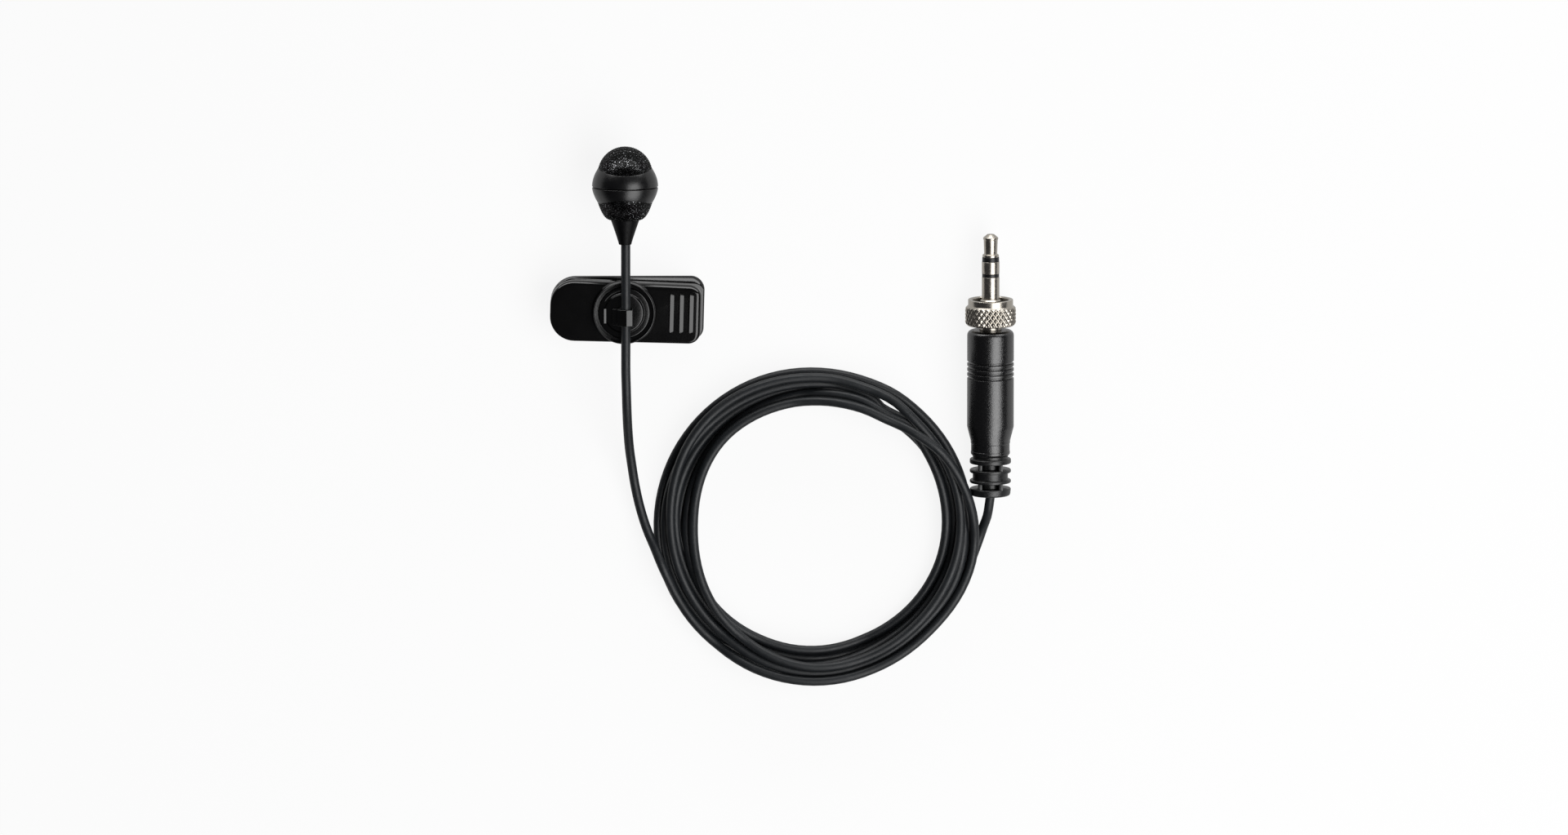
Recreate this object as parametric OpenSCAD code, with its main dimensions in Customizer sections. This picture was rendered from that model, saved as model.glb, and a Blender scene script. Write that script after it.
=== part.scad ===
// Lavalier microphone: a small two-ring head on a thin lead, held in a swivelling clothing clip,
// with the rest of the lead coiled and a locking 3.5 mm plug on its end.
// Millimetres. +Z up from the surface that it lies on, +Y from the clip to the head's front grille.

/* [Microphone head] */
// Largest diameter, at the parting groove between the two rings
head_d = 13.1; // [10.8:0.1:16]
// How far the rings swell beyond the grilles
ring_bulge = 1.25; // [1:0.05:1.6]
// Width of the lip on which a grille sits
ring_lip = 0.33; // [0.2:0.01:0.5]
// Height of the front grille's dome
dome_h = 4.0; // [3.4:0.1:5]
// Length of the front ring
front_ring_len = 4.0; // [3.6:0.1:5]
// Length of the rear ring
rear_ring_len = 3.2; // [2.8:0.1:4.4]
// Width of the parting groove
parting_gap = 0.2; // [0.1:0.05:0.4]
// Length of the rear grille's bowl
bowl_len = 3.2; // [2.8:0.1:4.2]
// Thickness of the two grilles
grille_wall = 0.4; // [0.3:0.05:0.5]
// Thickness of the acoustic foam behind each grille
foam_t = 0.8; // [0.5:0.1:1]
// Angle by which the head droops from level
head_droop = 3; // [0:0.5:4]

/* [Capsule] */
// Thickness of the rubber gasket between the can and the rings
gasket_t = 0.67; // [0.4:0.01:1]
// Length of the capsule's can
can_len = 5.0; // [4.2:0.1:6]
// Wall of the can
can_wall = 0.25; // [0.2:0.05:0.4]
// Wall of the cup that holds the backplate
cup_wall = 0.4; // [0.3:0.05:0.6]
// Thickness of the backplate
backplate_t = 0.6; // [0.4:0.1:0.8]
// Holes in the backplate and in the can's front
port_count = 6; // [4:1:8]
// Diameter of those holes
port_d = 0.7; // [0.5:0.1:0.9]
// Diameter of the circle that they lie on
port_circle_d = 4.0; // [2:0.1:4.4]
// Thickness of the circuit board
board_t = 0.7; // [0.5:0.1:1]

/* [Head boot] */
// Length of the tapered boot
boot_len = 5.0; // [4.2:0.1:6]
// Wall of the boot at its thin end
boot_tip_wall = 0.22; // [0.15:0.01:0.4]
// Diameter of the boot's wide end
boot_base_d = 5.56; // [5:0.05:6]

/* [Lead] */
// Diameter of the lead
cord_d = 1.85; // [1.5:0.05:2.25]
// Radius of the coil's outermost turn, at the middle of the lead
coil_r = 31.3; // [30:0.1:32.5]
// Least space between two turns of the coil
lay_gap = 0.45; // [0.42:0.01:0.6]
// Whole turns of the coil, besides the part turn between its two ends
coil_turns = 7; // [3:1:8]

/* [Cable hook and swivel] */
// Length of the cable hook along the lead
hook_len = 3.1; // [2.4:0.1:4]
// Wall of the hook round the lead
hook_wall = 0.42; // [0.35:0.01:0.6]
// Diameter of the swivel disc
disc_d = 10.26; // [8.5:0.02:12.4]
// Diameter of the raised middle of the swivel disc
boss_d = 7.7; // [6.4:0.1:8.4]
// Diameter of the rivet's shank
rivet_d = 2.8; // [2.2:0.1:3.4]
// Thickness of the friction washer
friction_t = 0.3; // [0.2:0.05:0.4]

/* [Clip] */
// Length of the front jaw to the jaw tip, from the swivel axis
front_tip_x = 14.7; // [13:0.1:15]
// Length of the front jaw to the finger end, from the swivel axis
front_finger_x = 14.9; // [14.7:0.1:16]
// Width of the front jaw
jaw_w = 12.2; // [10.1:0.1:14.7]
// Thickness of the front jaw
front_jaw_t = 1.9; // [1.6:0.1:2.3]
// Thickness of the rear jaw
rear_jaw_t = 1.7; // [1.3:0.1:2.1]
// Length of the rear jaw
rear_jaw_len = 30.9; // [29:0.1:32]
// How far the rear jaw stands out beyond the front jaw on each side
jaw_margin = 0.25; // [0:0.05:0.6]
// Wall of the collar round the swivel disc
collar_wall = 0.97; // [0.7:0.01:1.3]
// Height of the collar
collar_h = 1.5; // [1.2:0.1:2]
// Number of grip ribs at the finger end
rib_count = 3; // [2:1:4]
// Length of a grip rib
rib_len = 7.6; // [5:0.1:9]
// Diameter of the hinge pin
hinge_pin_d = 1.0; // [0.8:0.05:1.2]
// Wall of the hinge knuckles
knuckle_wall = 0.5; // [0.4:0.05:0.6]
// Wire of the jaw spring
spring_wire_d = 0.45; // [0.35:0.05:0.5]
// Whole turns of the jaw spring
spring_turns = 3; // [2:1:3]
// Angle by which the clip is turned, seen from above
clip_turn = 1.5; // [0:0.5:10]

/* [Plug contacts] */
// Diameter of the plug's pin
pin_d = 3.5; // [3.4:0.05:3.6]
// Length of the tip contact
tip_len = 4.6; // [4.2:0.1:5]
// Width of the insulator behind the tip
tip_insulator_len = 0.9; // [0.6:0.1:1.2]
// Length of the ring contact
ring_contact_len = 2.4; // [2:0.1:3]
// Width of the insulator behind the ring
ring_insulator_len = 0.7; // [0.5:0.1:1]
// Length of the sleeve contact in front of the nut
sleeve_len = 4.5; // [4:0.1:6]

/* [Locking nut] */
// Diameter over the knurling
nut_d = 10.1; // [9.9:0.1:12.2]
// Length of the knurled part
nut_knurl_len = 3.9; // [3.4:0.1:4.4]
// Length of the plain collar in front of it
nut_collar_len = 1.3; // [1:0.1:2]
// Diameter of the plain collar
nut_collar_d = 8.95; // [8.4:0.05:9.2]
// Bore of the internal thread, at its crests
nut_thread_d = 7.2; // [6.6:0.1:7.4]
// Thickness of the nut's web
nut_web_t = 1.8; // [1.2:0.1:2.2]
// Free travel of the nut towards the plug's body
nut_travel = 0.8; // [0.3:0.05:0.9]

/* [Plug body] */
// Diameter of the straight part
body_d = 9.3; // [9:0.05:11.2]
// Length of the moulded body
body_len = 25.3; // [21:0.1:31]
// Diameter of the narrow rear part
body_rear_d = 7.8; // [7.4:0.05:8.2]
// Diameter of the cavity inside
body_bore_d = 6.8; // [6.4:0.1:7]
// Diameter of the shank that joins the body and the pin
shank_d = 4.3; // [4.2:0.05:4.6]
// Number of grip grooves
groove_count = 4; // [2:1:6]

/* [Strain relief] */
// Length of the slotted strain relief
relief_len = 8.3; // [7.6:0.1:10]
// Diameter of its flanges
relief_d = 7.9; // [7:0.1:8.2]
// Diameter of its core in the slotted rows
relief_core_d = 4.5; // [4:0.1:5]

/* [Hidden] */
$fn = 48;

// Clearances: a press or glued seat, a running fit, and two moving faces
seat_gap = 0.02;
run_gap = 0.05;
face_gap = 0.05;

// Colours
BLACK = [0.07, 0.07, 0.08];
SOFT_BLACK = [0.11, 0.11, 0.12];
MESH_BLACK = [0.16, 0.16, 0.17];
FOAM_GREY = [0.25, 0.25, 0.26];
SILVER = [0.78, 0.78, 0.76];
STEEL = [0.6, 0.6, 0.62];
GOLD = [0.83, 0.66, 0.3];
BOARD_GREEN = [0.1, 0.35, 0.2];
WIRE_RED = [0.65, 0.1, 0.1];

// Places of the three groups on the surface
lead_x = -0.05;
boot_y = 0.65;
boot_z = 11.1;
cable_z = 11.3;
swivel_x = -0.4;
swivel_y = -13.35;
plug_x = 72.4;
relief_y = -51.1;
plug_z = max(nut_d, body_d, relief_d) / 2;
coil_x = 38;
coil_y = -57.6;

// Stations along the head's axis, from the boot's thin end
bowl_a = boot_len;
rear_ring_a = bowl_a + bowl_len;
front_ring_a = rear_ring_a + rear_ring_len + parting_gap;
dome_a = front_ring_a + front_ring_len;
head_len = dome_a + dome_h;
rear_ring_end_a = front_ring_a - parting_gap;

// Head radii
head_r = head_d / 2;
grille_r = head_r - ring_bulge;
ring_bore_r = grille_r - ring_lip;
skirt_r = ring_bore_r - seat_gap;
skirt_len = 1.1;
spigot_r = ring_bore_r + 0.6;
spigot_len = 1.0;
neck_r = boot_base_d / 2 - 0.45;
boot_tip_r = cord_d / 2 + boot_tip_wall;
boot_flange_t = 0.5;
dome_r = (pow(grille_r, 2) + pow(dome_h, 2)) / (2 * dome_h);
dome_centre_a = head_len - dome_r;
front_ring_bulge = front_ring_len * 1.55;
bowl_shift = grille_wall * 1.15;

// Capsule stations, from the can's rear to its front
can_r = ring_bore_r - gasket_t;
can_inner_r = can_r - can_wall;
can_front_a = dome_a - 0.9;
can_rear_a = can_front_a - can_len;
backplate_r = can_inner_r - cup_wall - 2 * seat_gap;
gasket_len = 1.4;
cup_ledge = 0.5;
film_t = 0.1;
diaphragm_a = can_front_a - can_wall - 0.5;
backplate_a = diaphragm_a - film_t - backplate_t;
cup_a = can_rear_a + board_t + seat_gap;
chip_h = 0.8;

// Cable ends inside the boot and the strain relief
jacket_r = cord_d / 2 - seat_gap;
wire_r = 0.28;
head_jacket_len = bowl_a + 0.3;
wire_spread = 0.42;

// Clip levels: the collar clears the lead, and the rear jaw's finger end rests on the surface
collar_clear = 0.32;
collar_top = cable_z - cord_d / 2 - collar_clear;
jaw_top = collar_top - collar_h;
jaw_under = jaw_top - front_jaw_t;
tip_gap = 0.35;
tooth_h = 0.25;
tip_z = jaw_under - tip_gap;
rear_tip_x = -front_tip_x - 0.2;
knuckle_r = hinge_pin_d / 2 + knuckle_wall;
pivot_z = jaw_under - knuckle_r - 0.3;
splay = atan2(rear_jaw_len, rear_jaw_t)
    - acos(tip_z / norm([rear_jaw_len, rear_jaw_t]));

// The hinge lies far enough from the tip for the spring to clear the rear jaw
spring_r = hinge_pin_d / 2 + spring_wire_d / 2 + 0.17;
spring_room = spring_r + spring_wire_d / 2 + 0.3;
pivot_x = max(1.0, rear_tip_x + (spring_room + (tip_z - pivot_z) * cos(splay)) / sin(splay));
rear_face_drop = (pivot_x - rear_tip_x) * sin(splay) + (pivot_z - tip_z) * cos(splay);
rear_start_x = (rear_tip_x - pivot_x + rear_face_drop * sin(splay)) / cos(splay);
tip_corner_r = 4.6;
finger_corner_r = 2.8;
rib_w = 0.9;
rib_h = 0.35;
rib_pitch = 1.95;
rib_first_x = front_finger_x - 5.5;

// Spring: its coils go round from the front jaw's leg to the rear jaw's leg
spring_pitch = spring_wire_d + 0.42;
spring_angle = 360 * spring_turns + 178 - splay;
spring_width = spring_pitch * spring_angle / 360;
spring_rings = 8;
spring_steps = round(spring_angle / 360 * spring_rings);
spring_leg = 7;

// Hinge: knuckles from its middle outwards
knuckle_gap = 0.1;
knuckle_len = 1.3;
spring_half = (spring_width + spring_wire_d) / 2;
rear_knuckle_y = spring_half + knuckle_gap;
front_knuckle_y = rear_knuckle_y + knuckle_len + knuckle_gap;
hinge_half = front_knuckle_y + knuckle_len;

// Swivel levels
collar_bore_r = disc_d / 2 + run_gap;
collar_r = collar_bore_r + collar_wall;
washer_z = jaw_top + face_gap;
disc_z = washer_z + friction_t;
disc_t = 0.7;
boss_top = collar_top;
rivet_head_t = 0.6;
rivet_head_r = rivet_d / 2 + 0.9;

// Cable hook
hook_bore_r = cord_d / 2 + run_gap;
hook_top = cable_z + hook_bore_r + hook_wall;
hook_right = lead_x + hook_bore_r + hook_wall;
hook_left = swivel_x - 2.3;
hook_y = swivel_y - 0.3;
slot_h = 1.4;

// Plug stations, from the strain relief's lead end
body_b = relief_len;
body_end_b = body_b + body_len;
nut_rear_b = body_end_b + nut_travel + 0.2;
web_front_b = nut_rear_b + nut_web_t;
nut_washer_t = 0.3;
flange_b = web_front_b + nut_washer_t + 2 * face_gap;
flange_t = 0.75;
nut_front_b = nut_rear_b + nut_knurl_len + nut_collar_len;
sleeve_end_b = nut_front_b + sleeve_len;
ring_b = sleeve_end_b + ring_insulator_len;
tip_insulator_b = ring_b + ring_contact_len;
tip_b = tip_insulator_b + tip_insulator_len;
plug_len = tip_b + tip_len;

// Plug radii, nested from the tip's rod outwards
pin_r = pin_d / 2;
rod_r = 0.48;
tip_tube_r = 0.78;
ring_tube_r = 1.02;
ring_sleeve_r = 1.28;
insulator_recess = 0.17;
inner_step = 0.25;
shank_r = shank_d / 2;
flange_r = nut_thread_d / 2 - 0.65;
core_r = body_bore_d / 2 - seat_gap;
core_len = 7;
front_lip_t = 0.6;
core_b = body_end_b - front_lip_t - core_len;
relief_spigot_len = 1.5;
stub_len = 12.6;
crimp_back = 0.4;
crimp_t = 0.6;
crimp_len = 2.2;
lug_w = 1.2;
lug_t = 0.3;
lug_len = 3.4;
rod_step = 1.0;
rod_start_b = core_b - 3.4;
tip_tube_start_b = rod_start_b + rod_step;
ring_tube_start_b = tip_tube_start_b + rod_step;
ring_cover_start_b = ring_tube_start_b + rod_step;

// Plug body outline
rear_straight = 3.0;
taper_len = 2.9;
front_round_r = 1.0;
rear_wall_len = 2.5;
groove_w = 0.45;
groove_depth = 0.2;
groove_pitch = 1.0;
grooves_back = 9.1;

// Strain relief: two slotted rows with a neck between them
slot_row_h = 1.2;
slot_rows_b = [1.7, 5.6];
neck_b = 3.5;
neck_end_b = 4.95;
neck_depth = 0.6;
relief_round = 0.7;
rib_bridge_w = 0.7;
rib_bridge_x = 1.75;
rib_bridge_y = [1.2, 3.3];

// Coil: the top layer winds in, the bottom layer winds out
coil_start = 205;
coil_end = 340;
coil_span = coil_turns + (coil_end - coil_start) / 360;
pitch = cord_d + lay_gap;
bottom_z = cord_d / 2;
top_z = bottom_z + pitch;
loop_rings = 24;
loop_sides = 6;
tube_sides = 8;
straight_len = cord_d;

// The lead from the boot to the coil, and the tail from the coil to the plug
LEAD_ROUTE = [
    [-0.05, -4.3, 11.3], [-0.05, -8, 11.3], [-0.05, -12, 11.3], [-0.05, -16, 11.3],
    [-0.05, -20.4, 11.3], [-0.05, -24.8, 11.25], [0.05, -28.8, 10.9], [0.15, -32.8, 9.8],
    [0.3, -36.8, 7.9], [0.6, -41.2, 5.2], [1.1, -45.2, 3.1], [1.7, -49.2, 1.6],
    [2.5, -53, 1.0], [3.4, -56.2, 1.05], [4.4, -59, 1.5], [5.9, -62.4, 2.3], [7.2, -65.4, 3.0]
];
TAIL_ROUTE = [
    [69.9, -62.4, 1.0], [70.9, -59.6, 1.4], [71.6, -57.2, 2.6], [72.2, -55, 4.2]
];

// ---------- Functions ----------

// The point and direction on the coil at a number of turns from its start
function coil_mid(t) = t - coil_span / 2;
function coil_drop(t) = max(0, min(1, coil_mid(t) * 2 + 0.5));
function coil_radius(t) =
    let (u = abs(coil_mid(t)), w = 0.25, inner = coil_r - pitch * coil_span / 2)
    inner + pitch * (u > w ? u : u * u / (2 * w) + w / 2);
function coil_point(t) =
    let (a = coil_start + 360 * t, r = coil_radius(t))
    [coil_x + r * cos(a), coil_y + r * sin(a), top_z - pitch * coil_drop(t)];
function coil_way(t) =
    let (a = coil_start + 360 * t)
    [-sin(a), cos(a), 0];

coil_steps = round(coil_span * loop_rings);
coil_in = coil_point(0) - straight_len * coil_way(0);
coil_out = coil_point(coil_span) + straight_len * coil_way(coil_span);
COIL_PATH = concat(
    [coil_in],
    [for (i = [0:coil_steps]) coil_point(coil_span * i / coil_steps)],
    [coil_out]
);

// Least space between two stretches of a path that lie at least half a loop apart along it
function least_gap(path, apart, d) =
    min([for (i = [0:len(path) - apart - 1])
        min([for (j = [i + apart:len(path) - 1]) norm(path[i] - path[j])])]) - d;

// Direction of a path at one of its points
function way(path, i) =
    let (last = len(path) - 1, v = path[min(i + 1, last)] - path[max(i - 1, 0)])
    v / norm(v);

// One ring of points round a path, with a corner straight up
function ring(path, i, r, sides) =
    let (t = way(path, i), s = cross(t, [0, 0, 1]), side = s / norm(s), up = cross(side, t))
    [for (k = [0:sides - 1])
        path[i] + r * (cos(90 + 360 * k / sides) * side + sin(90 + 360 * k / sides) * up)];

// A route kept on the surface, with its lowest stretches lying on it
function lying(path) = [for (p = path) [p[0], p[1], max(p[2], cord_d / 2)]];

// Boot, bowl, ring and dome outlines as [radius, station] points
arc_steps = 10;
function boot_profile() =
    [for (i = [0:arc_steps]) let (t = i / arc_steps)
        [boot_tip_r + (boot_base_d / 2 - boot_tip_r) * pow(t, 1.1), boot_len * t]];
function bowl_profile(r_end, a_start) =
    [for (i = [0:arc_steps]) let (t = i / arc_steps, r0 = boot_base_d / 2)
        [r0 + (r_end - r0) * t, a_start + (rear_ring_a - a_start) * t * t]];
function rear_ring_profile() =
    [for (i = [0:arc_steps]) let (t = i / arc_steps)
        [head_r - (head_r - grille_r) * pow(1 - t, 1.15), rear_ring_a + rear_ring_len * t]];
function front_ring_profile() =
    [for (i = [0:arc_steps]) let (h = front_ring_len * i / arc_steps,
        k = (1 - sqrt(1 - pow(h / front_ring_bulge, 2)))
            / (1 - sqrt(1 - pow(front_ring_len / front_ring_bulge, 2))))
        [head_r - (head_r - grille_r) * k, front_ring_a + h]];
function dome_profile(r, from_a) =
    let (a0 = acos((from_a - dome_centre_a) / r))
    [for (i = [0:arc_steps]) let (a = a0 * (1 - i / arc_steps))
        [r * sin(a), dome_centre_a + r * cos(a)]];
function reversed(list) = [for (i = [len(list) - 1:-1:0]) list[i]];

// Outline of a jaw, with round corners of one radius at the tip and another at the finger end
function corner(x, y, r, from) =
    [for (i = [0:6]) [x + r * cos(from + 15 * i), y + r * sin(from + 15 * i)]];
function jaw_outline(x0, x1, w) =
    concat(
        corner(x1 - finger_corner_r, w / 2 - finger_corner_r, finger_corner_r, 0),
        corner(x0 + tip_corner_r, w / 2 - tip_corner_r, tip_corner_r, 90),
        corner(x0 + tip_corner_r, tip_corner_r - w / 2, tip_corner_r, 180),
        corner(x1 - finger_corner_r, finger_corner_r - w / 2, finger_corner_r, 270)
    );

// ---------- Placement and shared shapes ----------

// Local +Z runs along the head, from the boot's thin end towards the front grille
module on_head() {
    translate([lead_x, boot_y, boot_z])
        rotate([-90 - head_droop, 0, 0])
            children();
}

// Local +Z runs along the plug, from the strain relief's lead end towards the tip
module on_plug() {
    translate([plug_x, relief_y, plug_z])
        rotate([-90, 0, 0])
            children();
}

// The holder's origin is on the swivel axis, at the surface's level
module on_holder() {
    translate([swivel_x, swivel_y, 0])
        children();
}

// The clip is turned a little about the same axis
module on_clip() {
    on_holder()
        rotate([0, 0, -clip_turn])
            children();
}

// A turned part from its [radius, station] outline
module turned(points) {
    rotate_extrude()
        polygon(points);
}

// A tube or a disc along local +Z
module tube(r_out, r_in, from, to) {
    turned([[r_in, from], [r_out, from], [r_out, to], [r_in, to]]);
}

// A round tube swept along a path, closed at both ends
module cord_tube(path, r, sides) {
    last = len(path) - 1;
    points = [for (i = [0:last]) each ring(path, i, r, sides)];
    walls = [for (i = [0:last - 1], k = [0:sides - 1])
        let (a = i * sides + k, b = i * sides + (k + 1) % sides)
        each [[a, b, a + sides], [b, b + sides, a + sides]]];
    caps = [for (k = [1:sides - 2]) each [
        [0, k + 1, k],
        [last * sides, last * sides + k, last * sides + k + 1]]];
    polyhedron(points, concat(walls, caps));
}

// A straight round wire between two points
module wire(from, to, r) {
    v = to - from;
    translate(from)
        rotate([0, acos(v[2] / norm(v)), atan2(v[1], v[0])])
            cylinder(h = norm(v), r = r, $fn = 24);
}

// A ring of holes along local +Z
module ports(count, ring_r, d, from, to) {
    for (i = [0:count - 1])
        rotate([0, 0, 360 * i / count])
            translate([ring_r, 0, from])
                cylinder(h = to - from, d = d, $fn = 24);
}

// ---------- Microphone head ----------

module head_front_grille() {
    inner = dome_profile(dome_r - grille_wall, dome_a);
    color(MESH_BLACK) on_head()
        turned(concat(
            [[skirt_r - grille_wall, dome_a - skirt_len], [skirt_r, dome_a - skirt_len], [skirt_r, dome_a]],
            dome_profile(dome_r, dome_a),
            reversed(inner),
            [[skirt_r - grille_wall, dome_a]]
        ));
}

module head_front_ring() {
    seat_a = front_ring_a + spigot_len + seat_gap;
    color(BLACK) on_head()
        turned(concat(
            [[spigot_r + seat_gap, front_ring_a]],
            front_ring_profile(),
            [[ring_bore_r, dome_a], [ring_bore_r, seat_a], [spigot_r + seat_gap, seat_a]]
        ));
}

module head_rear_ring() {
    color(BLACK) on_head()
        turned(concat(
            [[ring_bore_r, rear_ring_a]],
            rear_ring_profile(),
            [[spigot_r, rear_ring_end_a], [spigot_r, front_ring_a + spigot_len],
                [ring_bore_r, front_ring_a + spigot_len]]
        ));
}

module head_rear_grille() {
    skirt_in = skirt_r - grille_wall;
    skirt_end = rear_ring_a + skirt_len;
    color(MESH_BLACK) on_head()
        turned(concat(
            [[neck_r + seat_gap, bowl_a]],
            bowl_profile(grille_r, bowl_a),
            [[skirt_r, rear_ring_a], [skirt_r, skirt_end], [skirt_in, skirt_end]],
            reversed(bowl_profile(skirt_in, bowl_a + bowl_shift)),
            [[neck_r + seat_gap, bowl_a + bowl_shift]]
        ));
}

module head_boot() {
    bore = cord_d / 2;
    flange_a = bowl_a + bowl_shift + seat_gap;
    flange_end = flange_a + boot_flange_t;
    flange_end_r = boot_base_d / 2;
    color(SOFT_BLACK) on_head()
        turned(concat(
            [[bore, 0]],
            boot_profile(),
            [[neck_r, bowl_a], [neck_r, flange_a], [flange_end_r, flange_a],
                [flange_end_r, flange_end], [bore, flange_end]]
        ));
}

module front_foam() {
    outer_r = dome_r - grille_wall - seat_gap;
    color(FOAM_GREY) on_head()
        turned(concat(
            dome_profile(outer_r, dome_a + 0.3),
            reversed(dome_profile(outer_r - foam_t, dome_a + 0.3))
        ));
}

module rear_foam() {
    outer_r = skirt_r - grille_wall - seat_gap;
    start_a = bowl_a + bowl_shift + boot_flange_t + 0.25;
    end_a = can_rear_a - face_gap;
    inner_r = outer_r - foam_t;
    color(FOAM_GREY) on_head()
        turned(concat(
            [[cord_d / 2, start_a]],
            bowl_profile(outer_r, start_a),
            [[outer_r, end_a], [inner_r, end_a]],
            reversed(bowl_profile(inner_r, start_a + foam_t)),
            [[cord_d / 2, start_a + foam_t]]
        ));
}

module capsule_can() {
    color(STEEL) on_head()
        difference() {
            tube(can_r, 0, can_rear_a, can_front_a);
            translate([0, 0, can_rear_a - can_wall])
                cylinder(h = can_len, r = can_inner_r);
            ports(port_count, port_circle_d / 2, port_d, can_front_a - 2 * can_wall, can_front_a + can_wall);
        }
}

module capsule_gasket() {
    middle = (rear_ring_end_a + dome_a) / 2;
    color(SOFT_BLACK) on_head()
        tube(ring_bore_r - seat_gap, can_r + seat_gap, middle - gasket_len, middle);
}

module diaphragm() {
    frame_r = can_inner_r - seat_gap;
    color(GOLD) on_head() {
        tube(frame_r, frame_r - 0.7, diaphragm_a, can_front_a - can_wall - seat_gap);
        tube(frame_r, 0, diaphragm_a, diaphragm_a + film_t);
    }
}

module backplate() {
    color(GOLD) on_head()
        difference() {
            tube(backplate_r, 0, backplate_a, backplate_a + backplate_t);
            ports(port_count, port_circle_d / 2, port_d, backplate_a - 1, diaphragm_a + 1);
        }
}

module insulator_cup() {
    outer_r = can_inner_r - seat_gap;
    lip_a = backplate_a - seat_gap;
    color("ivory") on_head()
        turned([
            [outer_r - cup_wall - cup_ledge, cup_a], [outer_r, cup_a],
            [outer_r, backplate_a + backplate_t], [outer_r - cup_wall, backplate_a + backplate_t],
            [outer_r - cup_wall, lip_a], [outer_r - cup_wall - cup_ledge, lip_a]
        ]);
}

module capsule_board() {
    color(BOARD_GREEN) on_head()
        tube(can_inner_r - seat_gap, 0, can_rear_a, can_rear_a + board_t);
}

module amplifier_chip() {
    chip_w = 1.6;
    color(BLACK) on_head()
        translate([-chip_w / 2, -chip_w / 2, can_rear_a + board_t])
            cube([chip_w, chip_w, chip_h]);
}

module head_cable_end() {
    color(SOFT_BLACK) on_head()
        tube(jacket_r, 0, 0, head_jacket_len);
}

module head_wires() {
    color(WIRE_RED) on_head()
        for (side = [-1, 1])
            translate([side * wire_spread, 0, head_jacket_len])
                cylinder(h = can_rear_a - head_jacket_len, r = wire_r);
}

// ---------- Lead ----------

module cord_lead() {
    start = [lead_x, boot_y, boot_z];
    head_way = [0, -cos(head_droop), sin(head_droop)];
    path = concat(
        [start, start + straight_len * head_way],
        lying(LEAD_ROUTE),
        [coil_in - straight_len * coil_way(0), coil_in]
    );
    color(SOFT_BLACK)
        cord_tube(path, cord_d / 2, tube_sides);
}

module cord_coil() {
    color(SOFT_BLACK)
        cord_tube(COIL_PATH, cord_d / 2, loop_sides);
}

module cord_tail() {
    end = [plug_x, relief_y, plug_z];
    path = concat(
        [coil_out, coil_out + straight_len * coil_way(coil_span)],
        lying(TAIL_ROUTE),
        [end - [0, straight_len, 0], end]
    );
    color(SOFT_BLACK)
        cord_tube(path, cord_d / 2, tube_sides);
}

// ---------- Cable hook and swivel ----------

module cable_hook() {
    block_w = hook_right - hook_left;
    color(BLACK)
        difference() {
            translate([hook_left, hook_y - hook_len / 2, boss_top])
                cube([block_w, hook_len, hook_top - boss_top]);
            translate([lead_x, hook_y - hook_len, cable_z])
                rotate([-90, 0, 0])
                    cylinder(h = 2 * hook_len, r = hook_bore_r);
            translate([hook_left - 1, hook_y - hook_len, cable_z - slot_h / 2])
                cube([lead_x - hook_left + 1, 2 * hook_len, slot_h]);
        }
}

module swivel_disc() {
    bore_r = rivet_d / 2 + seat_gap;
    color(BLACK) on_holder()
        turned([
            [bore_r, disc_z], [disc_d / 2, disc_z], [disc_d / 2, disc_z + disc_t],
            [boss_d / 2, disc_z + disc_t], [boss_d / 2, boss_top], [bore_r, boss_top]
        ]);
}

module swivel_rivet() {
    head_z = jaw_under + rivet_head_t;
    color(STEEL) on_holder()
        turned([
            [0, jaw_under], [rivet_head_r, jaw_under], [rivet_head_r, head_z],
            [rivet_d / 2, head_z], [rivet_d / 2, boss_top], [0, boss_top]
        ]);
}

module friction_washer() {
    color(STEEL) on_holder()
        tube(disc_d / 2 - 0.3, rivet_d / 2 + seat_gap, washer_z, disc_z);
}

// ---------- Clip ----------

// One knuckle at each side of the hinge's middle, joined to its jaw by a web
module knuckles(from_y, web_z) {
    for (side = [0, 1])
        mirror([0, side, 0])
            translate([0, from_y, 0]) {
                rotate([-90, 0, 0])
                    cylinder(h = knuckle_len, r = knuckle_r);
                translate([-knuckle_r, 0, min(web_z, 0)])
                    cube([2 * knuckle_r, knuckle_len, abs(web_z)]);
            }
}

module hinge_bore(r) {
    rotate([90, 0, 0])
        cylinder(h = jaw_w, r = r, center = true);
}

module front_jaw() {
    tooth_count = 4;
    tooth_pitch = 0.9;
    tooth_w = jaw_w - 2 * tip_corner_r;
    color(BLACK) on_clip()
        difference() {
            union() {
                translate([0, 0, jaw_under])
                    linear_extrude(front_jaw_t)
                        polygon(jaw_outline(-front_tip_x, front_finger_x, jaw_w));
                translate([0, 0, jaw_top])
                    cylinder(h = collar_h, r = collar_r);
                for (i = [0:rib_count - 1])
                    translate([rib_first_x + i * rib_pitch, -rib_len / 2, jaw_top])
                        cube([rib_w, rib_len, rib_h]);
                for (i = [0:tooth_count - 1])
                    translate([-front_tip_x + 0.5 + i * tooth_pitch, 0, jaw_under])
                        rotate([90, 0, 0])
                            linear_extrude(tooth_w, center = true)
                                polygon([[0, 0], [tooth_h, -tooth_h], [2 * tooth_h, 0]]);
                translate([pivot_x, 0, pivot_z])
                    knuckles(front_knuckle_y, jaw_under - pivot_z);
            }
            translate([0, 0, jaw_top])
                cylinder(h = collar_h + 1, r = collar_bore_r);
            cylinder(h = jaw_top + 1, r = rivet_d / 2 + run_gap);
            cylinder(h = jaw_under + rivet_head_t + face_gap, r = rivet_head_r + run_gap);
            translate([pivot_x, 0, pivot_z])
                hinge_bore(hinge_pin_d / 2 + seat_gap);
        }
}

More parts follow.
